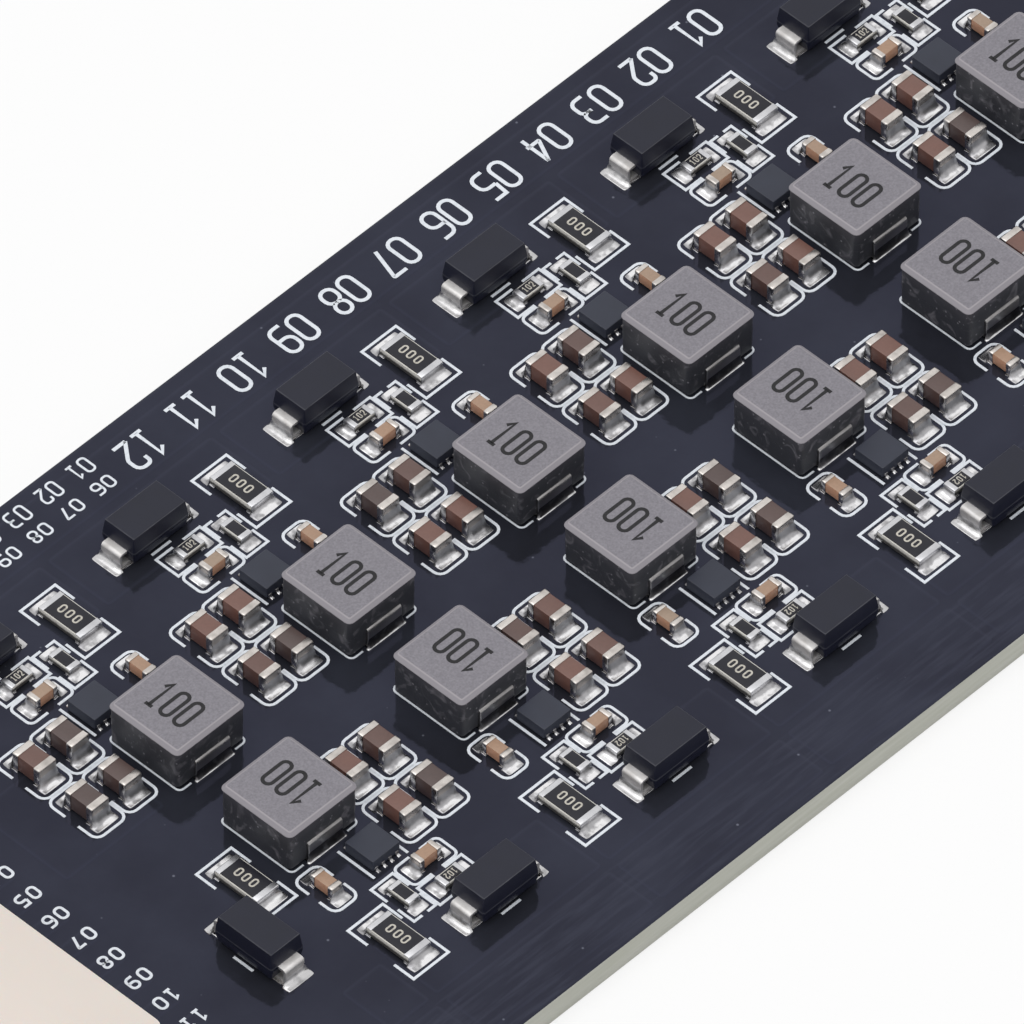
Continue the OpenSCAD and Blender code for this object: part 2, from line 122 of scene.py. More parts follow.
def nearHeight(add, height, level, far, near):
    # 1 close to a level, fading out towards the far distance from it
    off = add("Math", {0: height, 1: level * mm}, operation="SUBTRACT")
    away = add("Math", {0: off}, operation="ABSOLUTE")
    return add("MapRange", {0: away, 1: far * mm, 2: near * mm})


def byLevel(add, hexUpright, tone):
    # another tone on faces that stand up from the board, painted for how light falls on them
    facing = add("NewGeometry").outputs["Normal"]
    level = add("SeparateXYZ", {"Vector": facing}).outputs["Z"]
    lying = add("MapRange", {0: level, 1: 0.2, 2: 0.7})
    return add("Mix", {0: lying, 6: hexUpright, 7: tone})


# Finishes: heights come in as millimetres of the frame


def maskCuredEpoxy(topZ, rise, wipedFrom, wipedTo):
    # Epoxy solder mask, screened and cured: a thin glassy near-black film that mirrors the pale room weakly
    material, add, place = startMaterial("maskCuredEpoxy")
    axes = add("SeparateXYZ", {"Vector": place}).outputs
    cloud = add("TexNoise", {"Vector": place, "Scale": perSize(6), "Detail": 5})
    depth = add("MapRange", {0: cloud, 1: 0.36, 2: 0.64})
    tone = add("Mix", {0: depth, 6: "#24252b", 7: "#2d2f37"})
    # over the edge of the copper the film gets a paler band, a painted sheen on its slope
    halfway = (topZ + 0.5 * rise) * mm
    climb = add("MapRange", {0: axes["Z"], 1: topZ * mm, 2: halfway})
    crest = add("MapRange", {0: axes["Z"], 1: (topZ + rise) * mm, 2: halfway})
    band = add("Math", {0: climb, 1: crest}, operation="MULTIPLY")
    thinningAndSheen = add("Math", {0: band, 1: cloud}, operation="MULTIPLY")
    tone = add("Mix", {0: thinningAndSheen, 6: tone, 7: "#333540"})
    dust = add("TexVoronoi", {"Vector": place, "Scale": perSize(1.9)})
    speck = add("MapRange", {0: dust, 1: 0.05, 2: 0.02})
    tone = add("Mix", {0: speck, 6: tone, 7: "#6d707a"})
    # wiped streaks run along the front strip only
    stretched = add("Mapping", {"Vector": place, "Scale": (0.1, 1, 1)})
    streak = add("TexNoise", {"Vector": stretched, "Scale": perSize(0.3), "Detail": 4})
    zone = add("MapRange", {0: axes["Y"], 1: wipedFrom * mm, 2: wipedTo * mm})
    wiped = add("Math", {0: streak, 1: zone}, operation="MULTIPLY")
    haze = add("MapRange", {0: wiped, 1: 0.45, 2: 0.75})
    tone = add("Mix", {0: haze, 6: tone, 7: "#34363f"})
    gloss = add("MapRange", {0: wiped, 1: 0.4, 2: 0.75, 3: 0.09, 4: 0.24})
    ripple = add("TexNoise", {"Vector": place, "Scale": perSize(1.1), "Detail": 2})
    bump = add("Bump", {"Height": ripple, "Strength": 0.4, "Distance": 0.05 * mm})
    return finishMaterial(material, {
        "Base Color": tone, "Roughness": gloss, "Normal": bump, "IOR": 1.47, "Specular IOR Level": 0.42,
        "Specular Tint": "#b5b9f0"})


def laminateRouted():
    # Glass cloth in epoxy, cut by a router: pale olive edge, blotchy resin, cloth layers drawn coarse to show
    material, add, place = startMaterial("laminateRouted")
    layers = add("Mapping", {"Vector": place, "Scale": (0.05, 0.05, 1)})
    cloth = add("TexNoise", {"Vector": layers, "Scale": perSize(0.28), "Detail": 3})
    blotch = add("TexNoise", {"Vector": place, "Scale": perSize(1.6), "Detail": 3})
    tone = add("Mix", {0: cloth, 6: "#989b89", 7: "#cac9c4"})
    tone = add("Mix", {0: blotch, 6: tone, 7: "#b2b3a9"})
    bump = add("Bump", {"Height": cloth, "Strength": 0.5, "Distance": 0.03 * mm})
    return finishMaterial(material, {"Base Color": tone, "Normal": bump, "Roughness": 0.55, "IOR": 1.5})


def inkScreened(name, hexColour, hexThin):
    # Screened ink: flat and chalky, a little thinner where the squeegee lifted
    material, add, place = startMaterial(name)
    wear = add("TexNoise", {"Vector": place, "Scale": perSize(0.25), "Detail": 3})
    thinningAndSheen = add("MapRange", {0: wear, 1: 0.5, 2: 0.8})
    tone = add("Mix", {0: thinningAndSheen, 6: hexColour, 7: hexThin})
    return finishMaterial(material, {"Base Color": tone, "Roughness": 0.6, "IOR": 1.45})


def powderCorePainted(paintEdge, topZ):
    # Iron powder pressed in resin, its top sprayed grey: speckled paint over dark smeared sides, glints
    # painted on.
    # Speckle and grains are drawn coarser than real, to show
    material, add, place = startMaterial("powderCorePainted")
    height = add("SeparateXYZ", {"Vector": place}).outputs["Z"]
    ragged = add("TexNoise", {"Vector": place, "Scale": perSize(0.7), "Detail": 3})
    level = add("Math", {0: ragged, 1: 0.04 * mm, 2: height}, operation="MULTIPLY_ADD")
    painted = add("MapRange", {0: level, 1: paintEdge * mm, 2: (paintEdge + 0.03) * mm})
    grain = add("TexNoise", {"Vector": place, "Scale": perSize(0.12), "Detail": 2})
    speckle = add("MapRange", {0: grain, 1: 0.3, 2: 0.7})
    paint = add("Mix", {0: speckle, 6: "#7d7a81", 7: "#8f8c93"})
    # the bevel under the top edge is painted lighter, to lift its shade
    slope = add("MapRange", {0: height, 1: (topZ - 0.01) * mm, 2: (topZ - 0.05) * mm})
    paint = add("Mix", {0: slope, 6: paint, 7: "#949096"})
    # a painted highlight along the rim of the top edge
    rim = nearHeight(add, height, topZ - 0.03, 0.028, 0.012)
    paint = add("Mix", {0: rim, 6: paint, 7: "#a8a3a8"})
    under = add("MapRange", {0: height, 1: (paintEdge - 0.7) * mm, 2: paintEdge * mm})
    side = add("Mix", {0: under, 6: "#3a3b40", 7: "#4b4a50"})
    smear = add("TexNoise", {"Vector": place, "Scale": perSize(0.9), "Detail": 5, "Distortion": 1.2})
    film = add("MapRange", {0: smear, 1: 0.55, 2: 0.76})
    side = add("Mix", {0: film, 6: side, 7: "#76747a"})
    # painted glints: pale specks on the sides where grains would catch the light
    grains = add("TexVoronoi", {"Vector": place, "Scale": perSize(0.45)})
    glint = add("MapRange", {0: grains, 1: 0.16, 2: 0.08})
    side = add("Mix", {0: glint, 6: side, 7: "#86848a"})
    tone = add("Mix", {0: painted, 6: side, 7: paint})
    gloss = add("MapRange", {0: painted, 3: 0.42, 4: 0.55})
    bump = add("Bump", {"Height": smear, "Strength": 0.4, "Distance": 0.04 * mm})
    return finishMaterial(material, {"Base Color": tone, "Roughness": gloss, "Normal": bump, "IOR": 1.5,
                                     "Specular IOR Level": 0.4})


def epoxyMoulded(name, hexDark, hexPale, rough, highlitEdges):
    # Filled epoxy, transfer moulded: matte charcoal, a patchy painted highlight along edges, pits drawn
    # coarser than real.
    # The highlighted edges are given as (lower, upper) heights of edges that run level round the body
    material, add, place = startMaterial(name)
    height = add("SeparateXYZ", {"Vector": place}).outputs["Z"]
    cloud = add("TexNoise", {"Vector": place, "Scale": perSize(1.2), "Detail": 4})
    tone = add("Mix", {0: cloud, 6: hexDark, 7: hexPale})
    # patchy painted highlight along each listed edge
    highlightBreakup = add("TexNoise", {"Vector": place, "Scale": perSize(0.8), "Detail": 3})
    for lower, upper in highlitEdges:
        half = (upper - lower) / 2
        near = nearHeight(add, height, lower + half, half, 0.3 * half)
        edgeHighlight = add("Math", {0: near, 1: highlightBreakup}, operation="MULTIPLY")
        tone = add("Mix", {0: edgeHighlight, 6: tone, 7: "#5b5c62"})
    gloss = add("MapRange", {0: cloud, 3: rough - 0.06, 4: rough + 0.06})
    pits = add("TexNoise", {"Vector": place, "Scale": perSize(0.09), "Detail": 1})
    bump = add("Bump", {"Height": pits, "Strength": 0.3, "Distance": 0.01 * mm})
    return finishMaterial(material, {"Base Color": tone, "Roughness": gloss, "Normal": bump, "IOR": 1.5,
                                     "Specular IOR Level": 0.35})


def metalDipped(name, hexColour, hexDull, rough, waves, hexUpright=None, hexFlank=None):
    # Tin laid on molten or from a bath: bright, with slow waves and dull patches of flux.
    # hexUpright is for faces that stand up from the board, a tone painted for how light falls on them;
    # hexFlank for end caps' sides, wetted by solder
    material, add, place = startMaterial(name)
    patch = add("TexNoise", {"Vector": place, "Scale": perSize(0.6), "Detail": 2})
    dull = add("MapRange", {0: patch, 1: 0.4, 2: 0.75})
    tone = add("Mix", {0: dull, 6: hexColour, 7: hexDull})
    if hexUpright:
        tone = byLevel(add, hexUpright, tone)
    if hexFlank:
        flank = add("Attribute", attribute_name="flank").outputs["Fac"]
        tone = add("Mix", {0: flank, 6: tone, 7: hexFlank})
    gloss = add("MapRange", {0: dull, 3: rough, 4: rough + 0.08})
    wave = add("TexNoise", {"Vector": place, "Scale": perSize(0.4), "Detail": 1})
    bump = add("Bump", {"Height": wave, "Strength": 0.6, "Distance": waves * mm})
    return finishMaterial(material, {"Base Color": tone, "Roughness": gloss, "Normal": bump, "Metallic": 1.0})


def solderReflowed(name, hexLow, hexHigh, changeFrom, changeTo, rimDull=0):
    # Solder melted in an oven: bright, with dull flux in patches and another tone where it climbs a terminal,
    # between two heights, painting the light and shade on the fillet
    material, add, place = startMaterial(name)
    height = add("SeparateXYZ", {"Vector": place}).outputs["Z"]
    patch = add("TexNoise", {"Vector": place, "Scale": perSize(0.5), "Detail": 2})
    ragged = add("MapRange", {0: patch, 1: 0.3, 2: 0.7, 3: -0.03 * mm, 4: 0.03 * mm})
    level = add("Math", {0: height, 1: ragged}, operation="ADD")
    # the tone by height is painted light and shade
    climbed = add("MapRange", {0: level, 1: changeFrom * mm, 2: changeTo * mm})
    tone = add("Mix", {0: climbed, 6: hexLow, 7: hexHigh})
    flux = add("MapRange", {0: patch, 1: 0.5, 2: 0.68, 4: 0.6})
    tone = add("Mix", {0: flux, 6: tone, 7: "#8e8d8f"})
    if rimDull:  # flux gathers along the sides of a land
        beside = add("Attribute", attribute_name="beside").outputs["Fac"]
        edge = add("MapRange", {0: beside, 1: 0.55, 2: 0.95, 4: rimDull})
        tone = add("Mix", {0: edge, 6: tone, 7: "#77767a"})
    gloss = add("MapRange", {0: climbed, 3: 0.22, 4: 0.34})
    return finishMaterial(material, {"Base Color": tone, "Roughness": gloss, "Metallic": 1.0})


def ceramicFired(name, hexCommon, hexOther, rough, hexCut=None):
    # Ceramic fired in stacks: satin, each block slightly off the next one's shade, grain drawn coarse to show.
    # hexCut is for the sides, cut through the stack: a tone painted to lift their shade
    material, add, place = startMaterial(name)
    own = add("Attribute", attribute_name="tint").outputs["Fac"]
    batch = add("MapRange", {0: own, 1: 0.6, 2: 0.85})
    shade = add("Mix", {0: batch, 6: hexCommon, 7: hexOther})
    if hexCut:
        shade = byLevel(add, hexCut, shade)
    grain = add("TexNoise", {"Vector": place, "Scale": perSize(0.16), "Detail": 3})
    light = add("MapRange", {0: grain, 3: 0.86, 4: 1.14})
    tone = add("VectorMath", {0: shade, 3: light}, operation="SCALE")
    bump = add("Bump", {"Height": grain, "Strength": 0.25, "Distance": 0.01 * mm})
    return finishMaterial(material, {"Base Color": tone, "Normal": bump, "Roughness": rough, "IOR": 1.6})


def aluminaSnapped(seat):
    # Alumina scribed and snapped from a sheet: pale upper edge, broken below and much darker grey towards the
    # bottom
    material, add, place = startMaterial("aluminaSnapped")
    height = add("SeparateXYZ", {"Vector": place}).outputs["Z"]
    crumbs = add("TexNoise", {"Vector": place, "Scale": perSize(0.2), "Detail": 3})
    level = add("Math", {0: crumbs, 1: 0.12 * mm, 2: height}, operation="MULTIPLY_ADD")
    paleAbove = add("MapRange", {0: level, 1: (seat + 0.30) * mm, 2: (seat + 0.42) * mm})
    tone = add("Mix", {0: paleAbove, 6: "#4c4a47", 7: "#d8d5ce"})
    bump = add("Bump", {"Height": crumbs, "Strength": 0.3, "Distance": 0.02 * mm})
    return finishMaterial(material, {"Base Color": tone, "Normal": bump, "Roughness": 0.5, "IOR": 1.6})


def glazeFused():
    # Glass fused over the resistor film: near-black, rounded and softly glossy
    material, add, place = startMaterial("glazeFused")
    cloud = add("TexNoise", {"Vector": place, "Scale": perSize(0.5), "Detail": 3})
    tone = add("Mix", {0: cloud, 6: "#15151e", 7: "#22222b"})
    gloss = add("MapRange", {0: cloud, 3: 0.3, 4: 0.45})
    return finishMaterial(material, {"Base Color": tone, "Roughness": gloss, "IOR": 1.55,
                                     "Specular IOR Level": 0.3})


def nylonMoulded(topZ, ease):
    # Unfilled nylon, injection moulded: cream, satin, slightly waxy, with flow clouds and a thin painted
    # highlight along the rim
    material, add, place = startMaterial("nylonMoulded")
    height = add("SeparateXYZ", {"Vector": place}).outputs["Z"]
    cloud = add("TexNoise", {"Vector": place, "Scale": perSize(5), "Detail": 3})
    tone = add("Mix", {0: cloud, 6: "#e6dbd2", 7: "#ece2d9"})
    # a painted highlight along the rounded top edge
    rim = nearHeight(add, height, topZ - 0.4 * ease, 0.38 * ease, 0.15 * ease)
    tone = add("Mix", {0: rim, 6: tone, 7: "#fff8ea"})
    skin = add("TexNoise", {"Vector": place, "Scale": perSize(0.2), "Detail": 2})
    bump = add("Bump", {"Height": skin, "Strength": 0.2, "Distance": 0.01 * mm})
    return finishMaterial(material, {"Base Color": tone, "Normal": bump, "Roughness": 0.42, "IOR": 1.53,
                                     "Subsurface Weight": 0.12, "Subsurface Scale": 0.6 * mm})


# Meshes: everything is drawn in millimetres and scaled once, in toMesh

meshing = {"weld": 0.0004, "leastCorner": 0.02, "flatRing": 0.03, "sideShare": 0.499, "leastReach": 0.001,
           "straight": 0.01, "arcStep": 0.4, "widestMitre": 1.5}  # angles in radians


def toMesh(work, name, sharpDegrees=28):
    bmesh.ops.remove_doubles(work, verts=work.verts, dist=meshing["weld"])
    bmesh.ops.recalc_face_normals(work, faces=work.faces)
    for face in work.faces:
        face.smooth = True
    for edge in work.edges:
        edge.smooth = edge.calc_face_angle(0) < math.radians(sharpDegrees)
    bmesh.ops.scale(work, vec=(mm, mm, mm), verts=work.verts)
    mesh = bpy.data.meshes.new(name)
    work.to_mesh(mesh)
    work.free()
    return mesh


def roundedRect(length, width, corner, steps=4):
    points = []
    for sx, sy, start in ((1, 1, 0), (-1, 1, 1), (-1, -1, 2), (1, -1, 3)):
        for k in range(steps + 1):
            angle = (start + k / steps) * quarterTurn
            points.append((sx * (length / 2 - corner) + corner * math.cos(angle),
                           sy * (width / 2 - corner) + corner * math.sin(angle)))
    return points


def addWall(work, near, far):
    # quads between two closed rows of points
    for i in range(len(near)):
        j = (i + 1) % len(near)
        work.faces.new((near[i], near[j], far[j], far[i]))


def addLoft(work, rings):
    # joins rings of equal length and closes both ends
    loops = [[work.verts.new(p) for p in ring] for ring in rings]
    for near, far in zip(loops, loops[1:]):
        addWall(work, near, far)
    work.faces.new(loops[0][::-1])
    work.faces.new(loops[-1])


def addSlabs(work, length, width, corner, levels, at=(0, 0, 0)):
    # stacked outlines: each level is (height, inset), so a block can lean, step and round over
    rings = []
    for z, inset in levels:
        left = max(corner - inset, meshing["leastCorner"])
        outline = roundedRect(length - 2 * inset, width - 2 * inset, left)
        rings.append([(at[0] + x, at[1] + y, at[2] + z) for x, y in outline])
    addLoft(work, rings)


def slabMesh(name, length, width, corner, levels, sharpDegrees=28, at=(0, 0, 0)):
    work = bmesh.new()
    addSlabs(work, length, width, corner, levels, at)
    return toMesh(work, name, sharpDegrees)


def roundOver(topZ, radius, inset=0, steps=5):
    # levels that carry an upright side over into a flat top, with a last ring that keeps the flat flat
    levels = []
    for k in range(1, steps + 1):
        angle = k / steps * quarterTurn
        levels.append((topZ - radius + radius * math.sin(angle), inset + radius * (1 - math.cos(angle))))
    return levels + [(topZ, inset + radius + meshing["flatRing"])]


def blockMesh(name, low, high, edge, segments=2):
    work = bmesh.new()
    bmesh.ops.create_cube(work, size=1)
    bmesh.ops.scale(work, vec=Vector(high) - Vector(low), verts=work.verts)
    bmesh.ops.translate(work, vec=(Vector(high) + Vector(low)) / 2, verts=work.verts)
    bmesh.ops.bevel(work, geom=work.edges[:], offset=edge, segments=segments, profile=0.5, affect="EDGES")
    return toMesh(work, name)


def roundCorners(corners, radius, closed=False):
    # a path needs only its corner points: each corner becomes an arc, as large as its sides allow
    points, count, share = [], len(corners), meshing["sideShare"]
    for i, corner in enumerate(corners):
        here = Vector(corner)
        toLast, toNext = Vector(corners[i - 1]) - here, Vector(corners[(i + 1) % count]) - here
        angle = toLast.angle(toNext) if closed or 0 < i < count - 1 else halfTurn
        reach = min(radius / math.tan(angle / 2), share * toLast.length, share * toNext.length)
        if reach < meshing["leastReach"] or angle > halfTurn - meshing["straight"]:
            points.append(here)
            continue
        toLast, toNext = toLast.normalized(), toNext.normalized()
        used = reach * math.tan(angle / 2)
        centre = here + (toLast + toNext).normalized() * used / math.sin(angle / 2)
        first, last = here + toLast * reach - centre, here + toNext * reach - centre
        begin = math.atan2(first.y, first.x)
        sweep = (math.atan2(last.y, last.x) - begin + halfTurn) % (2 * halfTurn) - halfTurn
        steps = max(2, math.ceil(abs(sweep) / meshing["arcStep"]))
        for k in range(steps + 1):
            a = begin + sweep * k / steps
            points.append(centre + used * Vector((math.cos(a), math.sin(a))))
    return points


def mitreScales(points, closed=False):
    # how much wider a strip is, across its corner, at each point
    scales = []
    for i, here in enumerate(points):
        if not closed and i in (0, len(points) - 1):
            scales.append(1.0)
            continue
        turn = (here - points[i - 1]).angle(points[(i + 1) % len(points)] - here, 0)
        scales.append(min(1 / math.cos(turn / 2), meshing["widestMitre"]))
    return scales


def stripMesh(name, corners, bend, width, thickness, edge, sharpDegrees=50, taper=1):
    # sheet or wire bent in the XZ plane, width along Y; taper narrows its first end
    points = roundCorners(corners, bend)
    scales = mitreScales(points)
    rings = []
    for i, here in enumerate(points):
        before, after = points[max(i - 1, 0)], points[min(i + 1, len(points) - 1)]
        along = ((here - before).normalized() + (after - here).normalized()).normalized()
        across = Vector((-along.y, along.x)) * scales[i]
        size = taper if i == 0 else 1
        rings.append([(here.x + across.x * t * size, y * size, here.y + across.y * t * size)
                      for y, t in roundedRect(width, thickness, edge, 2)])
    work = bmesh.new()
    addLoft(work, rings)
    return toMesh(work, name, sharpDegrees)


# Repeats: a node tree puts a prototype on every point of its host


def repeatTree(treeName, printed):
    tree = bpy.data.node_groups.new(treeName, "GeometryNodeTree")
    sockets = {"Geometry": "Geometry", "Prototype": "Object", "Finish": "Material", "Seed": "Int"}
    if printed:
        sockets.update({"Line width": "Float", "Line thickness": "Float"})
    inputs = {}
    for name, kind in sockets.items():
        socket = tree.interface.new_socket(name=name, in_out="INPUT", socket_type="NodeSocket" + kind)
        inputs[name] = socket.identifier
    tree.interface.new_socket(name="Geometry", in_out="OUTPUT", socket_type="NodeSocketGeometry")
    add = partial(addNode, tree)
    given = add("NodeGroupInput").outputs
    shape = add("GeometryNodeObjectInfo", {"Object": given["Prototype"]}).outputs["Geometry"]
    if printed:  # the prototype is a path, widened into a flat printed strip
        path = add("GeometryNodeMeshToCurve", {"Mesh": shape})
        level = add("GeometryNodeSetCurveNormal", {"Curve": path}, mode="Z_UP")
        section = add("GeometryNodeCurvePrimitiveQuadrilateral",
                      {"Width": given["Line width"], "Height": given["Line thickness"]})
        mitre = add("GeometryNodeInputNamedAttribute", {"Name": "mitre"}, data_type="FLOAT")
        strip = add("GeometryNodeCurveToMesh",
                    {"Curve": level, "Profile Curve": section, "Scale": mitre, "Fill Caps": True})
        shape = add("GeometryNodeSetShadeSmooth", {"Geometry": strip, "Shade Smooth": False})
    turn = add("GeometryNodeInputNamedAttribute", {"Name": "turn"}, data_type="FLOAT")
    upright = add("CombineXYZ", {"Z": turn})
    spun = add("FunctionNodeEulerToRotation", {"Euler": upright})
    copies = add("GeometryNodeInstanceOnPoints",
                 {"Points": given["Geometry"], "Instance": shape, "Rotation": spun})
    chance = add("FunctionNodeRandomValue", {2: 0.0, 3: 1.0, "Seed": given["Seed"]}, data_type="FLOAT")
    tinted = add("GeometryNodeStoreNamedAttribute", {"Geometry": copies, "Name": "tint", "Value": chance},
                 data_type="FLOAT", domain="INSTANCE")
    real = add("GeometryNodeRealizeInstances", {"Geometry": tinted})
    done = add("GeometryNodeSetMaterial", {"Geometry": real, "Material": given["Finish"]})
    add("NodeGroupOutput", {0: done})
    return tree, inputs


partRepeat = repeatTree("partRepeat", False)
printRepeat = repeatTree("printRepeat", True)


def ridePiece(piece, nodes=()):
    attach(piece, "root")
    if nodes:
        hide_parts(*nodes)


def repeatPiece(name, mesh, places, finish, nodes=(), seed=1, line=None):
    # places are (x, y, z, turn) in millimetres and radians; line is (width, thickness) for printed paths
    prototype = bpy.data.objects.new(name + "Prototype", mesh)
    scene.collection.objects.link(prototype)
    points = bpy.data.meshes.new(name)
    points.from_pydata([(x * mm, y * mm, z * mm) for x, y, z, turn in places], [], [])
    points.attributes.new("turn", "FLOAT", "POINT").data.foreach_set("value", [p[3] for p in places])
    piece = bpy.data.objects.new(name, points)
    scene.collection.objects.link(piece)
    modifier = piece.modifiers.new("repeat", "NODES")
    modifier.node_group, inputs = printRepeat if line else partRepeat
    settings = {"Prototype": prototype, "Finish": finish, "Seed": seed}
    if line:
        settings.update({"Line width": line[0] * mm, "Line thickness": line[1] * mm})
    for key, value in settings.items():
        modifier[inputs[key]] = value
    graph = bpy.context.evaluated_depsgraph_get()
    made = bpy.data.meshes.new_from_object(piece.evaluated_get(graph))
    piece.modifiers.clear()
    piece.data = made
    bpy.data.objects.remove(prototype)
    ridePiece(piece, nodes)


def repeatEach(stem, mesh, nodes, seats, finish, firstSeed=1):
    # one piece for each node, on the seats of its solids
    for i, node in enumerate(nodes):
        repeatPiece(f"{stem}_{node[-2:]}", mesh, seats[i], finish, [node], seed=firstSeed + i)


def singlePiece(name, mesh, finish, nodes):
    mesh.materials.append(finish)
    piece = bpy.data.objects.new(name, mesh)
    scene.collection.objects.link(piece)
    ridePiece(piece, nodes)


def pathMesh(name, paths):
    # paths are (corner points, corner radius, closed), drawn flat
    points, edges, mitres = [], [], []
    for corners, radius, closed in paths:
        line = roundCorners(corners, radius, closed)
        first, count = len(points), len(line)
        points += [(p.x * mm, p.y * mm, 0) for p in line]
        mitres += mitreScales(line, closed)
        edges += [(first + i, first + i + 1) for i in range(count - 1)]
        if closed:
            edges.append((first + count - 1, first))
    mesh = bpy.data.meshes.new(name)
    mesh.from_pydata(points, edges, [])
    mesh.attributes.new("mitre", "FLOAT", "POINT").data.foreach_set("value", mitres)
    return mesh


# Places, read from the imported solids

reading = {"merge": 1e-7, "decimals": 2, "square": 0.05}  # merge is in metres, square in millimetres


def numbered(stem):
    return sorted(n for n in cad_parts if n[:-2] == stem + "_" and n[-2:].isdigit())


def boxOf(points):
    low = Vector([min(p[k] for p in points) for k in range(3)])
    high = Vector([max(p[k] for p in points) for k in range(3)])
    return low, high


def millimetreBox(node):
    low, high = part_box(node)
    return low / mm, high / mm


def middleOf(box):
    return (box[0] + box[1]) / 2


def solidsOf(node):
    # the corner points of each separate solid of a node, in millimetres, from left to right
    work = bmesh.new()
    work.from_mesh(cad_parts[node].data)
    bmesh.ops.remove_doubles(work, verts=work.verts, dist=reading["merge"])
    found, left = [], set(work.verts)
    while left:
        grown, waiting = set(), [left.pop()]
        while waiting:
            vert = waiting.pop()
            grown.add(vert)
            fresh = {e.other_vert(vert) for e in vert.link_edges} & left
            left -= fresh
            waiting += fresh
        found.append([v.co / mm for v in grown])
    work.free()
    return sorted(found, key=lambda points: tuple(round(c, reading["decimals"]) for c in boxOf(points)[0]))


def boxesOf(node):
    return [boxOf(points) for points in solidsOf(node)]


boardLow, boardHigh = millimetreBox("circuit_board")
boardTop = boardHigh.z
housingLow, housingHigh = millimetreBox("header_housing")
contactBoxes = boxesOf("header_contacts")
seatZ = millimetreBox("bank_end_caps")[0].z  # top of the solder that parts stand on
inductors, chips, diodes = numbered("inductor"), numbered("balance_chip"), numbered("clamp_diode")
banks = numbered("capacitor_bank")
rowSplit = (middleOf(millimetreBox(inductors[0])).y + middleOf(millimetreBox(inductors[-1])).y) / 2


def seatOf(points):
    # where a part stands: its middle, and its turn, half round in the front row, a quarter if it lies along Y
    low, high = boxOf(points)
    middle, size = (low + high) / 2, high - low
    turn = 0 if middle.y > rowSplit else halfTurn
    if size.y > size.x + reading["square"]:
        turn += quarterTurn
    return middle.x, middle.y, seatZ, turn


def seatsOf(node):
    return [seatOf(points) for points in solidsOf(node)]


def splitByLie(seats):
    # the seats that lie along X, and those that lie across it
    along = [s for s in seats if abs(math.cos(s[3])) > 0.5]
    return along, [s for s in seats if s not in along]


def endSeats(places, reach):
    # both ends of parts that lie along their own X, each turned outwards
    return [(x + math.cos(turn + side) * reach, y + math.sin(turn + side) * reach, z, turn + side)
            for x, y, z, turn in places for side in (0, halfTurn)]


inductorSeats, chipSeats, diodeSeats = ([seatOf(millimetreBox(n)) for n in names]
                                        for names in (inductors, chips, diodes))
bankSeats = [seatsOf(n) for n in banks]
allBankSeats = [seat for seats in bankSeats for seat in seats]
smallCapSeats, smallResSeats = seatsOf("small_capacitors"), seatsOf("small_resistors")
linkSeats = seatsOf("link_resistors")
pairCapSeats, loneCapSeats = splitByLie(smallCapSeats)
pairResSeats, crossResSeats = splitByLie(smallResSeats)
print("places read from the frame:", len(inductorSeats), "cells,", len(smallCapSeats), "small capacitors")

# Materials in use, with the sizes that finishes and shapes share

inductorTop = millimetreBox(inductors[0])[1].z
diodeTop, diodeLeadTop = millimetreBox(diodes[0])[1].z, millimetreBox("diode_leads")[1].z
chipTop = millimetreBox(chips[0])[1].z
paintDrop = 0.25  # how far the sprayed top runs down an inductor's sides
copperRise = 0.012  # how far copper lifts the mask
housingEase = 0.12  # rounding of the housing's edges
wipedZone = (-16.8, -18.4)  # from here, along Y, the front strip was wiped
mask = maskCuredEpoxy(boardTop, copperRise, *wipedZone)
laminate = laminateRouted()
legendInk = inkScreened("legendInkScreened", "#eef3fa", "#d6dde6")
valueInk = inkScreened("valueInkStamped", "#100f12", "#212024")
codeInk = inkScreened("codeInkStamped", "#cfcabf", "#8f8b83")
powderCore = powderCorePainted(inductorTop - paintDrop, inductorTop)
diodeEpoxy = epoxyMoulded("diodeEpoxyMoulded", "#141624", "#1b1d2d", 0.42, [
    (diodeTop - 0.06, diodeTop - 0.002), (diodeLeadTop, diodeLeadTop + 0.1)])
chipEpoxy = epoxyMoulded("chipEpoxyMoulded", "#2f323e", "#383c49", 0.45, [(chipTop - 0.04, chipTop - 0.002)])
# end caps: upright end faces painted darker, a painted reflection of the dark board
tinPlate = metalDipped("tinPlateMatte", "#d2ccc7", "#aca6a1", 0.26, 0.001, "#a29c98", "#ccc8c5")
endTin = metalDipped("tinPlateOnResistors", "#cfcfd2", "#bfbfc2", 0.26, 0.001)
tinBright = metalDipped("tinBrightDipped", "#d6d4d3", "#c2bfbd", 0.55, 0.001)
# straps and chip leads: darker tin, with upright faces painted lighter than the lying bends, for how light
# falls on them
strapTin = metalDipped("tinDarkOnStraps", "#8e8c8c", "#7c7a7a", 0.32, 0.0002, "#b6b4b4")
# chip ends: the climbing fillet painted greyer, a painted shade; dull flux along the land's sides
solder = solderReflowed("solderOnChipEnds", "#ebeaeb", "#adacae", boardTop + 0.065, boardTop + 0.105, 0.7)
# bent leads: the flat land painted darker and the fillet up the lead lighter, painted shade and a painted
# highlight
leadSolder = solderReflowed("solderOnBentLeads", "#c5c4c5", "#dedddd", boardTop + 0.1, boardTop + 0.3)
# joints with a short toe, at straps and chip leads: painted shade, dark where the fillet climbs beside the
# part
shadedSolder = solderReflowed("solderShadedFillet", "#d2d1d2", "#5c5b5d", boardTop + 0.06, boardTop + 0.12)
brownCeramic = ceramicFired("brownCeramicFired", "#745147", "#51413e", 0.42)
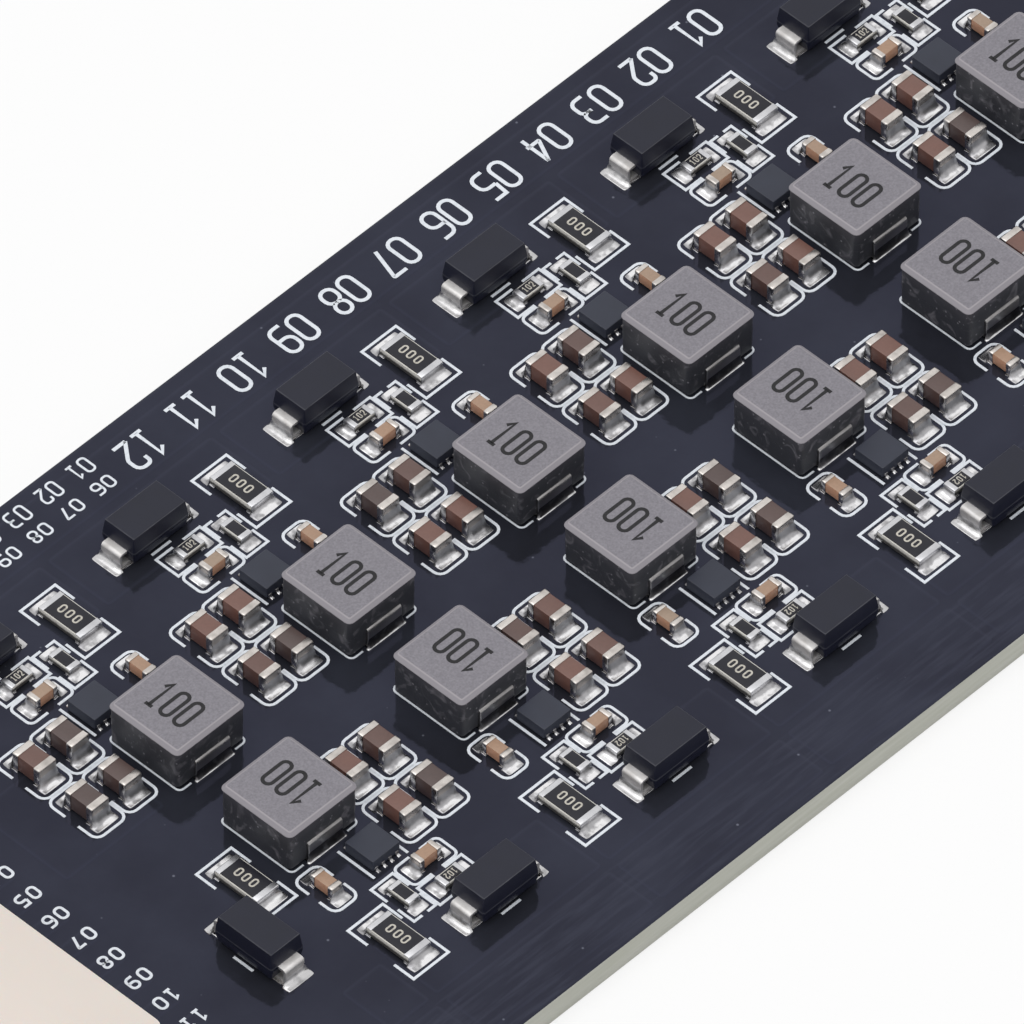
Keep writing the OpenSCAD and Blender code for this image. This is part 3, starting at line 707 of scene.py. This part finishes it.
# small capacitors: sides painted lighter and warmer than the top, to lift their shade
tanCeramic = ceramicFired("tanCeramicFired", "#ac8b73", "#a58f7c", 0.40, "#c8987b")
alumina = aluminaSnapped(seatZ)
glaze = glazeFused()
nylon = nylonMoulded(housingHigh.z, housingEase)
print("finishes ready")

# Board: laminate core, mask film on both faces, and the copper that shows through the mask

boardLook = {"corner": 0.3, "film": 0.02, "coreEase": 0.04, "filmInsets": (0.03, 0.05, 0.08, 0.25)}
copperLook = {"slope": 0.34, "corner": 0.3, "edgeMargin": 0.8, "gap": 0.4, "headerClear": 13,
              "section": ((0, 0), (0.35, 0.3), (0.8, 0.65), (1, 1)),  # shares of rise and slope
              "flatRing": 0.05,
              "backStrip": 18.25, "backField": 13.2, "backLead": 9,  # lower edges, reach left of an inductor
              "frontStrip": -18.1, "frontField": -12.9, "frontLead": 3.6,  # upper edges, reach as above
              "entryInset": 1.2, "entryField": (1.4, 8.2), "cornerInset": 5.5, "cornerField": -14,
              "trackClear": 0.8, "trackHalf": 0.6}


def makeBoard(look):
    size, middle = boardHigh - boardLow, middleOf((boardLow, boardHigh))
    film, ease, at = look["film"], look["coreEase"], (middle.x, middle.y, 0)
    low, high = boardLow.z + film, boardTop - film
    levels = [(low, ease), (low + ease, 0), (high - ease, 0), (high, ease)]
    core = slabMesh("boardLaminateCore", size.x, size.y, look["corner"], levels, 50, at)
    singlePiece("boardLaminateCore", core, laminate, ["circuit_board"])
    for name, inner, outer in (("maskFilmTop", high, boardTop), ("maskFilmUnderside", low, boardLow.z)):
        levels = zip((inner, (inner + outer) / 2, outer, outer), look["filmInsets"])
        mesh = slabMesh(name, size.x, size.y, look["corner"], levels, 50, at)
        singlePiece(name, mesh, mask, ["circuit_board"])


def copperFields(look):
    # rectangles (x0, x1, y0, y1): strips along both edges, fields under the cells, tracks at the header
    gap, margin = look["gap"], look["edgeMargin"]
    left, right = boardLow.x + look["headerClear"], boardHigh.x - margin
    front, back = boardLow.y + margin, boardHigh.y - margin
    firstX = inductorSeats[0][0]
    pitch, firstField = inductorSeats[1][0] - firstX, firstX - look["frontLead"]
    fields = [(left + look["entryInset"], firstField, *look["entryField"])]
    fields.append((left, right, look["backStrip"], back))
    for x, y, z, turn in inductorSeats:
        if y > rowSplit:
            start = x - look["backLead"]
            fields.append((start + gap, start + pitch, look["backField"], look["backStrip"] - gap))
        else:
            start = x - look["frontLead"]
            fields.append((start + gap, start + pitch, front, look["frontStrip"]))
            fields.append((start + gap, start + pitch, look["frontStrip"] + gap, look["frontField"]))
    fields.append((left, firstField, front, look["frontStrip"]))
    fields.append((left + look["cornerInset"], firstField, look["frontStrip"] + gap, look["cornerField"]))
    for box in contactBoxes:
        y, half = middleOf(box).y, look["trackHalf"]
        fields.append((box[1].x + look["trackClear"], left - gap, y - half, y + half))
    return fields


def makeCopper(look):
    work = bmesh.new()
    levels = [(copperRise * up, look["slope"] * inward) for up, inward in look["section"]]
    levels.append((copperRise, look["slope"] + look["flatRing"]))
    for x0, x1, y0, y1 in copperFields(look):
        corner = min(look["corner"], (y1 - y0) / 3)
        addSlabs(work, x1 - x0, y1 - y0, corner, levels, ((x0 + x1) / 2, (y0 + y1) / 2, boardTop))
    mesh = toMesh(work, "copperUnderMask", 60)
    singlePiece("copperUnderMask", mesh, mask, ["circuit_board"])


makeBoard(boardLook)
makeCopper(copperLook)
print("board made")

# Legend: printed outlines, wire numbers and the row of plain numbers along the back edge

legendLook = {"line": 0.16, "fineLine": 0.11, "thickness": 0.03}
outlines = {  # whole outer size along and across the part, length of the legs, corner radius, gap in one end
    "link": {"length": 4.88, "width": 2.72, "leg": 1.48, "corner": 0.0, "split": 0},
    "pairResistor": {"length": 3.4, "width": 1.8, "leg": 1.32, "corner": 0.0, "split": 0},
    "pairCapacitor": {"length": 3.4, "width": 1.8, "leg": 1.32, "corner": 0.35, "split": 0},
    "crossResistor": {"length": 3.26, "width": 1.75, "leg": 1.25, "corner": 0.0, "split": 0.4},
    "loneCapacitor": {"length": 3.25, "width": 1.95, "leg": 1.25, "corner": 0.5, "split": 0},
    "bankCapacitor": {"length": 3.84, "width": 2.42, "leg": 1.45, "corner": 0.5, "split": 0},
}
partMarks = {"chipLineOut": 1.23, "chipLineFrom": -1.3, "chipLineTo": 1.35,
             "inductorOut": 2.47, "inductorReach": 2.6, "inductorReturn": 0.85, "inductorCorner": 0.3,
             "diodeDash": 1.4, "diodeDashOut": 1.15}


def printLegend(name, paths, places, line=legendLook["line"], thickness=legendLook["thickness"],
                finish=legendInk, height=boardTop):
    raised = [(x, y, height + thickness / 2, turn) for x, y, z, turn in places]
    repeatPiece(name, pathMesh(name, paths), raised, finish, line=(line, thickness))


def bracketPaths(size):
    # a bracket round each end; split opens the middle of the first end line
    x, y = (size["length"] - legendLook["line"]) / 2, (size["width"] - legendLook["line"]) / 2
    inner = size["length"] / 2 - size["leg"]
    first, last = ([(side * inner, y), (side * x, y), (side * x, -y), (side * inner, -y)] for side in (1, -1))
    lines = [first, last]
    if size["split"]:
        lines = [[(inner, up * y), (x, up * y), (x, up * size["split"] / 2)] for up in (1, -1)] + [last]
    return [(points, size["corner"], False) for points in lines]


def makeOutlines(marks):
    for kind, places in (("link", linkSeats), ("pairResistor", pairResSeats), ("pairCapacitor", pairCapSeats),
                         ("crossResistor", crossResSeats), ("loneCapacitor", loneCapSeats),
                         ("bankCapacitor", allBankSeats)):
        printLegend("legend_" + kind, bracketPaths(outlines[kind]), places)
    out, low, high = marks["chipLineOut"], marks["chipLineFrom"], marks["chipLineTo"]
    printLegend("legend_chip", [([(s * out, low), (s * out, high)], 0, False) for s in (1, -1)], chipSeats)
    x, y, inner = marks["inductorOut"], marks["inductorReach"], marks["inductorOut"] - marks["inductorReturn"]
    paths = [([(s * inner, y), (s * x, y), (s * x, -y), (s * inner, -y)], marks["inductorCorner"], False)
             for s in (1, -1)]
    printLegend("legend_inductor", paths, inductorSeats, legendLook["fineLine"])
    half, out = marks["diodeDash"] / 2, marks["diodeDashOut"]
    paths = [([(-half, s * out), (half, s * out)], 0, False) for s in (1, -1)]
    printLegend("legend_diode", paths, diodeSeats)


digitStrokes = {  # strokes on a unit square: corner points, share of the corner radius, closed or not
    "0": [([(0, 0), (1, 0), (1, 1), (0, 1)], 1, True)],
    "1": [([(0.1, 0.78), (0.55, 1), (0.55, 0)], 0, False), ([(0.15, 0), (0.95, 0)], 0, False)],
    "2": [([(0, 0.72), (0, 1), (1, 1), (1, 0.56), (0, 0)], 1, False), ([(0, 0), (1, 0)], 0, False)],
    "3": [([(0, 1), (1, 1), (1, 0.53), (0.3, 0.53)], 1, False),
          ([(0.38, 0.53), (1, 0.53), (1, 0), (0, 0)], 1, False)],
    "4": [([(0.76, 0), (0.76, 1)], 0, False), ([(0.76, 1), (0, 0.3), (1, 0.3)], 0.1, False)],
    "5": [([(0.95, 1), (0.08, 1), (0, 0.56)], 0, False),
          ([(0, 0.56), (1, 0.56), (1, 0), (0, 0)], 1, False)],
    "6": [([(1, 1), (0, 1), (0, 0), (1, 0), (1, 0.56), (0, 0.56)], 1, False)],
    "7": [([(0, 1), (1, 1), (0.35, 0)], 0.15, False)],
    "8": [([(0, 0), (1, 0), (1, 0.53), (0, 0.53)], 1, True),
          ([(0.04, 0.53), (0.96, 0.53), (0.96, 1), (0.04, 1)], 1, True)],
    "9": [([(0, 0), (1, 0), (1, 1), (0, 1), (0, 0.44), (1, 0.44)], 1, False)],
}
wireNumbers = {"width": 0.50, "height": 0.78, "advance": 0.84, "corner": 0.22, "line": 0.155,
               "x": -37.95, "shift": 0.1}
rowNumbers = {"text": "01 02 03 04 05 06 07 08 09 10 11 12", "width": 0.9, "height": 2.0, "advance": 1.27,
              "corner": 0.42, "line": 0.22, "x": 9.2, "y": 19.75}
smallNumbers = {"width": 0.5, "advance": 0.78, "corner": 0.2, "line": 0.13, "x": -19.6}
smallNumberRows = [{"text": "01 02 03 04 05", "height": 1.05, "y": 21.05},
                   {"text": "06 07 08 09 10", "height": 0.8, "y": 19.4}]


def printNumbers(name, text, look, places, finish=legendInk, height=boardTop):
    # plain numbers centred on each place, read along +X with their tops towards +Y
    paths = []
    start = -(look["advance"] * (len(text) - 1) + look["width"]) / 2
    for n, character in enumerate(text):
        left = start + n * look["advance"]
        for stroke, share, closed in digitStrokes.get(character, []):
            points = [(left + x * look["width"], (y - 0.5) * look["height"]) for x, y in stroke]
            paths.append((points, look["corner"] * share, closed))
    thickness = look.get("thickness", legendLook["thickness"])
    printLegend(name, paths, places, look["line"], thickness, finish, height)


def makeNumbers():
    for i, y in enumerate(sorted((middleOf(box).y for box in contactBoxes), reverse=True)):
        place = (wireNumbers["x"], y + wireNumbers["shift"], 0, halfTurn)
        printNumbers(f"wireNumber_{i:02d}", f"{i:02d}", wireNumbers, [place])
    rows = {"rowNumbers": rowNumbers}
    for i, row in enumerate(smallNumberRows):
        rows[f"smallNumbers_{i + 1}"] = {**smallNumbers, **row}
    for name, look in rows.items():
        printNumbers(name, look["text"], look, [(look["x"], look["y"], 0, halfTurn)])


makeOutlines(partMarks)
makeNumbers()
print("legend printed")

# Inductors: pressed bodies with a sprayed top, bent terminal straps and a stamped value

inductorLook = {"corner": 0.29, "footEase": 0.08, "draft": 0.03, "parting": 1.3, "lid": 0.065, "bevel": 0.19,
                # (height, inset): the seam from the parting, the lid's edge from its foot, the rim from above
                "seam": ((-0.02, 0.012), (0, 0)), "neck": (-0.02, 0.02),
                "lidEdge": ((0, 0.03), (0.025, 0), (0.06, 0.01)),
                "rim": ((-0.055, -0.05), (-0.025, -0.01), (-0.006, 0.03), (0, 0.07), (0, 0.11))}
strapLook = {"width": 2.5, "thickness": 0.15, "rise": 1.3, "foot": 1.1, "root": 0.3, "bend": 0.1,
             "edge": 0.03}
valueCode = {"text": "100", "width": 0.62, "height": 1.9, "advance": 1.0, "corner": 0.31, "line": 0.21,
             "thickness": 0.012, "shift": -0.15}


def makeInductors(look):
    low, high = millimetreBox(inductors[0])
    bottom, top, lid = low.z - seatZ, high.z - seatZ, look["lid"]
    edge = top - paintDrop
    levels = [(bottom, look["footEase"] + look["draft"]), (bottom + look["footEase"], look["draft"])]
    levels += [(look["parting"] + z, inset) for z, inset in look["seam"]]
    levels += [(edge + look["neck"][0], look["neck"][1])]
    levels += [(edge + z, inset - lid) for z, inset in look["lidEdge"]]
    levels += [(top + z, look["bevel"] + inset) for z, inset in look["rim"]]
    mesh = slabMesh("inductorBody", high.x - low.x, high.y - low.y, look["corner"], levels)
    repeatEach("inductorBody", mesh, inductors, [[s] for s in inductorSeats], powderCore)


def makeStraps(look):
    low, high = millimetreBox(inductors[0])
    face, half = (high.y - low.y) / 2, look["thickness"] / 2
    corners = [(face - look["root"], look["rise"] - half), (face + half, look["rise"] - half),
               (face + half, half), (face - look["foot"], half)]
    mesh = stripMesh("inductorStraps", corners, look["bend"], look["width"], look["thickness"], look["edge"])
    places = [(x, y, z, turn + side * quarterTurn) for x, y, z, turn in inductorSeats for side in (1, -1)]
    repeatPiece("inductorStraps", mesh, places, strapTin, ["inductor_straps"])


def makeValueCodes(look):
    places = [(x + math.cos(turn) * look["shift"], y + math.sin(turn) * look["shift"], z, turn - quarterTurn)
              for x, y, z, turn in inductorSeats]
    printNumbers("inductorValueCodes", look["text"], look, places, valueInk, inductorTop)


makeInductors(inductorLook)
makeStraps(strapLook)
makeValueCodes(valueCode)
print("inductors made")

# Balance chips: flat packages with leads flush at two sides

chipLook = {"ease": 0.04, "corner": 0.06, "leadEdge": 0.03}


def makeChips(look):
    low, high = millimetreBox(chips[0])
    top, ease = high.z - seatZ, look["ease"]
    levels = [(0, ease), (ease, 0), (top - ease, 0)] + roundOver(top, ease, 0, 3)
    mesh = slabMesh("chipBody", high.x - low.x, high.y - low.y, look["corner"], levels)
    repeatEach("chipBody", mesh, chips, [[s] for s in chipSeats], chipEpoxy)
    leads = boxesOf("chip_leads")
    half = (leads[0][1] - leads[0][0]) / 2
    mesh = blockMesh("chipLeads", (-half.x, -half.y, 0), (half.x, half.y, 2 * half.z), look["leadEdge"])
    places = [(middle.x, middle.y, seatZ, 0) for middle in map(middleOf, leads)]
    repeatPiece("chipLeads", mesh, places, strapTin, ["chip_leads"])


makeChips(chipLook)
print("chips made")

# Clamp diodes: drafted bodies with leads bent round and under the ends

diodeLook = {"draft": 0.15, "band": 0.3, "corner": 0.14, "ease": 0.07, "seamHalf": 0.02, "seamDepth": 0.015}
diodeLead = {"width": 1.4, "thickness": 0.2, "reach": 0.55, "foot": 1.2, "root": 0.3, "bend": 0.13,
             "edge": 0.04}


def makeDiodes(look, lead):
    low, high = millimetreBox(diodes[0])
    bottom, top = low.z - seatZ, high.z - seatZ
    leadHalf = lead["thickness"] / 2
    parting = diodeLeadTop - seatZ - leadHalf
    half, draft, seam, depth = look["band"] / 2, look["draft"], look["seamHalf"], look["seamDepth"]
    lean = draft * (1 - look["ease"] / (top - parting - half))
    levels = [(bottom, draft), (parting - half, 0), (parting - seam, 0), (parting - seam, depth),
              (parting + seam, depth), (parting + seam, 0), (parting + half, 0), (top - look["ease"], lean)]
    levels += roundOver(top, look["ease"], lean, 4)
    mesh = slabMesh("diodeBody", high.x - low.x, high.y - low.y, look["corner"], levels, 24)
    repeatEach("diodeBody", mesh, diodes, [[s] for s in diodeSeats], diodeEpoxy)
    bodyEnd = (high.x - low.x) / 2
    end = bodyEnd + lead["reach"]
    corners = [(bodyEnd - lead["root"], parting), (end - leadHalf, parting), (end - leadHalf, leadHalf),
               (end - lead["foot"], leadHalf)]
    mesh = stripMesh("diodeLeads", corners, lead["bend"], lead["width"], lead["thickness"], lead["edge"], 40)
    repeatPiece("diodeLeads", mesh, endSeats(diodeSeats, 0), tinBright, ["diode_leads"])


makeDiodes(diodeLook, diodeLead)
print("diodes made")

# Chip capacitors and resistors

bankSize = {"length": 2.0, "width": 1.3, "height": 1.2, "band": 0.42}
smallCapSize = {"length": 1.6, "width": 0.8, "height": 0.8, "band": 0.32}
smallResSize = {"length": 1.6, "width": 0.8, "height": 0.45, "band": 0.32}
linkSize = {"length": 3.1, "width": 1.6, "height": 0.55, "band": 0.37}
capacitorLook = {"wall": 0.04, "edge": 0.07, "capEdge": 0.09, "lip": 0.02, "lipInset": 0.012,
                 "capRound": ((1, 0), (0.6, 0.1), (0.25, 0.35), (0, 1)),  # shares of capEdge: depth and inset
                 "flatRing": 0.03, "leastCorner": 0.03, "flankFacing": 0.7}
resistorLook = {"wall": 0.04, "snapEdge": 0.02, "glazeSide": 0.07, "glazeDepth": 0.07, "glazeEase": 0.035,
                "glazeTuck": 0.02, "glazeProud": 0.012, "bend": 0.06, "endEdge": 0.012}


def ceramicBlock(size, look):
    wall = look["wall"]
    x, y = size["length"] / 2 - wall, size["width"] / 2 - wall
    return blockMesh("ceramicBlock", (-x, -y, wall), (x, y, size["height"] - wall), look["edge"])


def endCap(size, look):
    # plated cup over a block's end: outer end at x = 0, open towards -X; its sides are marked as flank
    height, band, wall, edge = size["height"], size["band"], look["wall"], look["capEdge"]
    section = [(-wall, wall), (-band, wall), (-band, look["lipInset"]), (-band + look["lip"], 0)]
    section += [(-depth * edge, inset * edge) for depth, inset in look["capRound"]]
    section.append((0, edge + look["flatRing"]))
    rings = []
    for x, inset in section:
        corner = max(edge - inset, look["leastCorner"])
        outline = roundedRect(size["width"] - 2 * inset, height - 2 * inset, corner, 3)
        rings.append([(x, y, height / 2 + z) for y, z in outline])
    work = bmesh.new()
    addLoft(work, rings)
    work.normal_update()
    flank = work.faces.layers.float.new("flank")
    for face in work.faces:
        face[flank] = float(abs(face.normal.y) > look["flankFacing"])
    return toMesh(work, "endCap", 50)


def makeCapacitors(look):
    block = ceramicBlock(bankSize, look)
    repeatEach("bankCeramic", block, banks, bankSeats, brownCeramic, 3)
    ends = endSeats(allBankSeats, bankSize["length"] / 2)
    repeatPiece("bankEndCaps", endCap(bankSize, look), ends, tinPlate, ["bank_end_caps"])
    repeatPiece("smallCapacitorCeramic", ceramicBlock(smallCapSize, look), smallCapSeats, tanCeramic,
                ["small_capacitors"], seed=7)
    ends = endSeats(smallCapSeats, smallCapSize["length"] / 2)
    repeatPiece("smallCapacitorEndCaps", endCap(smallCapSize, look), ends, tinPlate,
                ["small_capacitor_end_caps"])


def makeResistors(name, size, seats, look, bodyNode, endNode):
    x, y, height, band = size["length"] / 2, size["width"] / 2, size["height"], size["band"]
    wall, side, glazeX = look["wall"], look["glazeSide"], x - band + look["glazeTuck"]
    mesh = blockMesh(name + "Ceramic", (wall - x, -y, wall), (x - wall, y, height - wall), look["snapEdge"])
    repeatPiece(name + "Ceramic", mesh, seats, alumina, [bodyNode])
    mesh = blockMesh(name + "Glaze", (-glazeX, side - y, height - look["glazeDepth"]),
                     (glazeX, y - side, height + look["glazeProud"]), look["glazeEase"], 3)
    repeatPiece(name + "Glaze", mesh, seats, glaze, [bodyNode])
    half = wall / 2
    corners = [(-band, height - half), (-half, height - half), (-half, half), (-band, half)]
    mesh = stripMesh(name + "Ends", corners, look["bend"], 2 * y, wall, look["endEdge"])
    repeatPiece(name + "Ends", mesh, endSeats(seats, x), endTin, [endNode])


linkCode = {"text": "000", "width": 0.27, "height": 0.54, "advance": 0.54, "corner": 0.13, "line": 0.1,
            "thickness": 0.01}
smallCode = {"text": "102", "width": 0.15, "height": 0.36, "advance": 0.27, "corner": 0.06, "line": 0.06,
             "thickness": 0.01}


def makeCodes():
    for name, look, size, seats in (("linkCodes", linkCode, linkSize, linkSeats),
                                    ("smallResistorCodes", smallCode, smallResSize, pairResSeats)):
        height = seatZ + size["height"] + resistorLook["glazeProud"]
        printNumbers(name, look["text"], look, seats, codeInk, height)


makeCapacitors(capacitorLook)
makeResistors("smallResistor", smallResSize, smallResSeats, resistorLook, "small_resistors",
              "small_resistor_ends")
makeResistors("linkResistor", linkSize, linkSeats, resistorLook, "link_resistors", "link_resistor_ends")
makeCodes()
print("chip parts made")

# Solder joints: reflowed fillets, one shape for each kind of land in the frame

solderLook = {"side": 0.2, "leastTerminal": 0.6, "rim": 0.45, "wetting": 1.25, "shortHeel": 0.5,
              "thinToe": 0.3, "sideClimb": 0.12, "cornerPull": 0.06, "pullPower": 6, "fillet": 0.66,
              "heelSide": 0.4, "fineWidth": 0.5, "heelGap": 0.03,
              "fineSteps": (0.03, 0.09, 0.18, 0.3, 0.45, 0.65, 0.88),
              "fewSteps": (0.35, 0.75), "flatSteps": (0.9, 0.97, 1), "toeSteps": (0.97, 1),
              "fineSides": (1, 0.97, 0.88), "fewSides": (1,)}
toeLevels, peakDepth = (0.3, 0.7), 0.01  # where a solid's toe and peak lie: shares of thickness, millimetres


def readJoints():
    # kinds of joint, (heel, toe, width, climb), each with the places and turns of its terminals
    kinds = {}
    thickness = seatZ - boardTop
    for points in solidsOf("solder_joints"):
        low, high = boxOf(points)
        toeLow, toeHigh = (low.z + share * thickness for share in toeLevels)
        toePoints = [p for p in points if toeLow < p.z < toeHigh]
        peaks = [p for p in points if p.z > high.z - peakDepth]
        toePoint, peak = sum(toePoints, Vector()) / len(toePoints), sum(peaks, Vector()) / len(peaks)
        seat = middleOf((low, high)).xy
        out = toePoint.xy - seat
        turn = round(math.atan2(out.y, out.x) / quarterTurn) * quarterTurn
        along = 0 if abs(math.cos(turn)) > 0.5 else 1
        seat[along] = peak[along]
        toe, size = (toePoint - peak).xy.length, high - low
        kind = (size[along] - toe, toe, size[1 - along], size.z - thickness)
        kind = tuple(round(v, reading["decimals"]) for v in kind)
        kinds.setdefault(kind, []).append((seat.x, seat.y, boardTop, turn))
    return kinds


def jointMesh(kind, look):
    heel, toe, width, climb = kind
    flat = seatZ - boardTop
    terminal = max(width - 2 * look["side"], look["leastTerminal"] * width)
    fine = width > look["fineWidth"]
    if fine and heel < look["shortHeel"]:
        climb *= look["wetting"]  # solder wets the metal ends of chip parts further up than a bent lead
    # past its fillet the tinned land lies flat
    fillet = toe * (look["fillet"] if fine and toe > look["thinToe"] else 1)
    xs = [-heel, -heel / 2, -look["heelGap"], 0]
    xs += [fillet * s for s in look["fineSteps" if fine else "fewSteps"]]
    xs += [toe * s for s in look["flatSteps" if fillet < toe else "toeSteps"]]
    half = [width / 2 * s for s in look["fineSides" if fine else "fewSides"]] + [terminal / 2, terminal / 4]
    ys = half + [0] + [-y for y in half[::-1]]
    work = bmesh.new()
    besideLayer = work.verts.layers.float.new("beside")  # 0 along the middle of the land, 1 at its sides
    grid = []
    for x in xs:
        down = 1 - min(max(x, 0) / fillet, 1)
        slope = 1 - math.sqrt(1 - down ** 2)  # a hollow quarter circle
        column = []
        for y in ys:
            # 0 at the terminal, 1 at the rim
            beside = max(0.0, (abs(y) - terminal / 2) / (width / 2 - terminal / 2))
            rise = climb * slope * (1 - beside) ** 2
            if x < 0:
                rise = climb * look["sideClimb"] * (1 - beside) ** 2 * (1 + x / heel) if beside else 0
                # a narrow seam beside the part
                y *= 1 - (1 - look["heelSide"]) * (1 - terminal / width) * beside
            onRim = x in (xs[0], xs[-1]) or beside == 1
            u, v = abs(x) / (toe if x > 0 else heel), abs(2 * y / width)
            pull = 1 - look["cornerPull"] * (u * v) ** look["pullPower"]
            vert = work.verts.new((x * pull, y * pull, flat * look["rim"] if onRim else flat + rise))
            vert[besideLayer] = v
            column.append(vert)
        grid.append(column)
    for near, far in zip(grid, grid[1:]):
        for j in range(len(ys) - 1):
            work.faces.new((near[j], far[j], far[j + 1], near[j + 1]))
    rim = [c[0] for c in grid] + grid[-1][1:] + [c[-1] for c in grid[-2::-1]] + grid[0][-2:0:-1]
    foot = [work.verts.new((v.co.x, v.co.y, 0)) for v in rim]
    addWall(work, rim, foot)
    work.faces.new(foot[::-1])
    return toMesh(work, "solderJoint", 75)


def makeSolder(look):
    for i, (kind, places) in enumerate(sorted(readJoints().items())):
        heel, toe = kind[:2]
        finish = shadedSolder if toe < look["thinToe"] else solder if heel < look["shortHeel"] else leadSolder
        repeatPiece(f"solderJoints_{i + 1:02d}", jointMesh(kind, look), places, finish,
                    ["solder_joints"], seed=i + 20)


makeSolder(solderLook)
print("solder made")

# Header: moulded housing open at the board's end, bent square contacts and anchor tabs

housingLook = {"wall": 0.7, "side": 0.85, "rear": 2.0, "chamfer": 2.0, "corner": 0.6, "sharpDegrees": 30}
contactLook = {"bend": 0.5, "edge": 0.04, "point": 0.4, "taper": 0.5}
tabLook = {"thickness": 0.3, "bend": 0.3, "edge": 0.03, "proud": 0.02}


def makeHousing(look):
    low, high, chamfer = housingLow, housingHigh, look["chamfer"]
    outline = roundCorners([(low.x, low.y), (high.x - chamfer, low.y), (high.x, low.y + chamfer),
                            (high.x, high.y - chamfer), (high.x - chamfer, high.y), (low.x, high.y)],
                           look["corner"])
    work = bmesh.new()
    floor, roof = ([work.verts.new((x, y, z)) for x, y in outline] for z in (low.z, high.z))
    work.faces.new(floor[::-1])
    work.faces.new(roof)
    for i in range(len(outline) - 1):  # every side but the mouth
        work.faces.new((floor[i], floor[i + 1], roof[i + 1], roof[i]))
    y0, y1, z0, z1 = low.y + look["side"], high.y - look["side"], low.z + look["wall"], high.z - look["wall"]
    mouth, deep = ([work.verts.new((x, y, z)) for y, z in ((y0, z0), (y0, z1), (y1, z1), (y1, z0))]
                   for x in (low.x, high.x - look["rear"]))
    addWall(work, [floor[0], roof[0], roof[-1], floor[-1]], mouth)
    addWall(work, mouth, deep)
    work.faces.new(deep)
    bmesh.ops.recalc_face_normals(work, faces=work.faces)
    sharp = [e for e in work.edges if e.calc_face_angle(0) > math.radians(look["sharpDegrees"])]
    bmesh.ops.bevel(work, geom=sharp, offset=housingEase, segments=3, profile=0.5, affect="EDGES")
    singlePiece("headerHousing", toMesh(work, "headerHousing"), nylon, ["header_housing"])


def makeContacts(look):
    low, high = contactBoxes[0]
    side = high.y - low.y
    rise, drop = high.z - seatZ - side / 2, housingHigh.x + side
    corners = [(low.x, rise), (low.x + look["point"], rise), (drop, rise), (drop, side / 2),
               (high.x, side / 2)]
    mesh = stripMesh("headerContacts", corners, look["bend"], side, side, look["edge"], 40, look["taper"])
    places = [(0, middleOf(box).y, seatZ, 0) for box in contactBoxes]
    repeatPiece("headerContacts", mesh, places, tinBright, ["header_contacts"])


def makeTabs(look):
    boxes = boxesOf("header_anchor_tabs")
    size, half = boxes[0][1] - boxes[0][0], look["thickness"] / 2
    stem = half + look["proud"]
    mesh = stripMesh("headerAnchorTabs", [(stem, size.z), (stem, half), (size.y, half)], look["bend"], size.x,
                     look["thickness"], look["edge"])
    places = []
    for low, high in boxes:
        outward = 1 if low.y > 0 else -1
        places.append(((low.x + high.x) / 2, low.y if outward > 0 else high.y, seatZ, outward * quarterTurn))
    repeatPiece("headerAnchorTabs", mesh, places, tinBright, ["header_anchor_tabs"])


makeHousing(housingLook)
makeContacts(contactLook)
makeTabs(tabLook)
print("header made")

# Room: white background, pale floor, one large overhead panel; its sizes are metres

roomLook = {"fill": 0.6, "floorSize": 6.0, "floorDrop": 0.00002, "floorGlow": 0.75, "keySize": 1.7,
            "keyPower": 9.45, "keyAt": (-0.4, -0.04, 1.3)}


def seenRays(add):
    # 1 for rays that show the background itself: to the camera, mirrored or through glass
    rays = add("LightPath").outputs
    bent = add("Math", {0: rays["Is Glossy Ray"], 1: rays["Is Transmission Ray"]}, operation="MAXIMUM")
    return add("Math", {0: rays["Is Camera Ray"], 1: bent}, operation="MAXIMUM")


def makeWorld(look):
    world = bpy.data.worlds.new("paleRoom")
    scene.world = world
    world.use_nodes = True
    add = partial(addNode, world.node_tree)
    strength = add("MapRange", {0: seenRays(add), 3: look["fill"], 4: 1.0})
    setInputs(world.node_tree.nodes["Background"], {"Color": "#ffffff", "Strength": strength})


def paperRolled(glow):
    # Rolled paper: white and matte, part of it glowing so that the background stays white
    material, add = startMaterial("floorPaper")[:2]
    nodes = material.node_tree.nodes
    finishMaterial(material, {"Base Color": "#ffffff", "Roughness": 0.9})
    share = add("Math", {0: seenRays(add), 1: glow}, operation="MULTIPLY")
    white = add("Emission", {"Color": "#ffffff", "Strength": 1.0})
    blend = add("MixShader", {0: share, 1: nodes["Principled BSDF"], 2: white})
    setInputs(nodes["Material Output"], {"Surface": blend})
    return material


def makeFloor(look):
    half = look["floorSize"] / 2
    corners = [(x * half, y * half, -look["floorDrop"]) for x, y in ((-1, -1), (1, -1), (1, 1), (-1, 1))]
    mesh = bpy.data.meshes.new("floor")
    mesh.from_pydata(corners, [], [(0, 1, 2, 3)])
    mesh.materials.append(paperRolled(look["floorGlow"]))
    floor = bpy.data.objects.new("floor", mesh)
    scene.collection.objects.link(floor)


def makePanel(look):
    data = bpy.data.lights.new("overheadPanel", "AREA")
    data.shape, data.size, data.energy = "SQUARE", look["keySize"], look["keyPower"]
    panel = bpy.data.objects.new("overheadPanel", data)
    panel.location = look["keyAt"]
    panel.rotation_euler = (-Vector(look["keyAt"])).to_track_quat("-Z", "Y").to_euler()
    panel.visible_camera = False
    scene.collection.objects.link(panel)


makeWorld(roomLook)
makeFloor(roomLook)
makePanel(roomLook)
print("room lit")
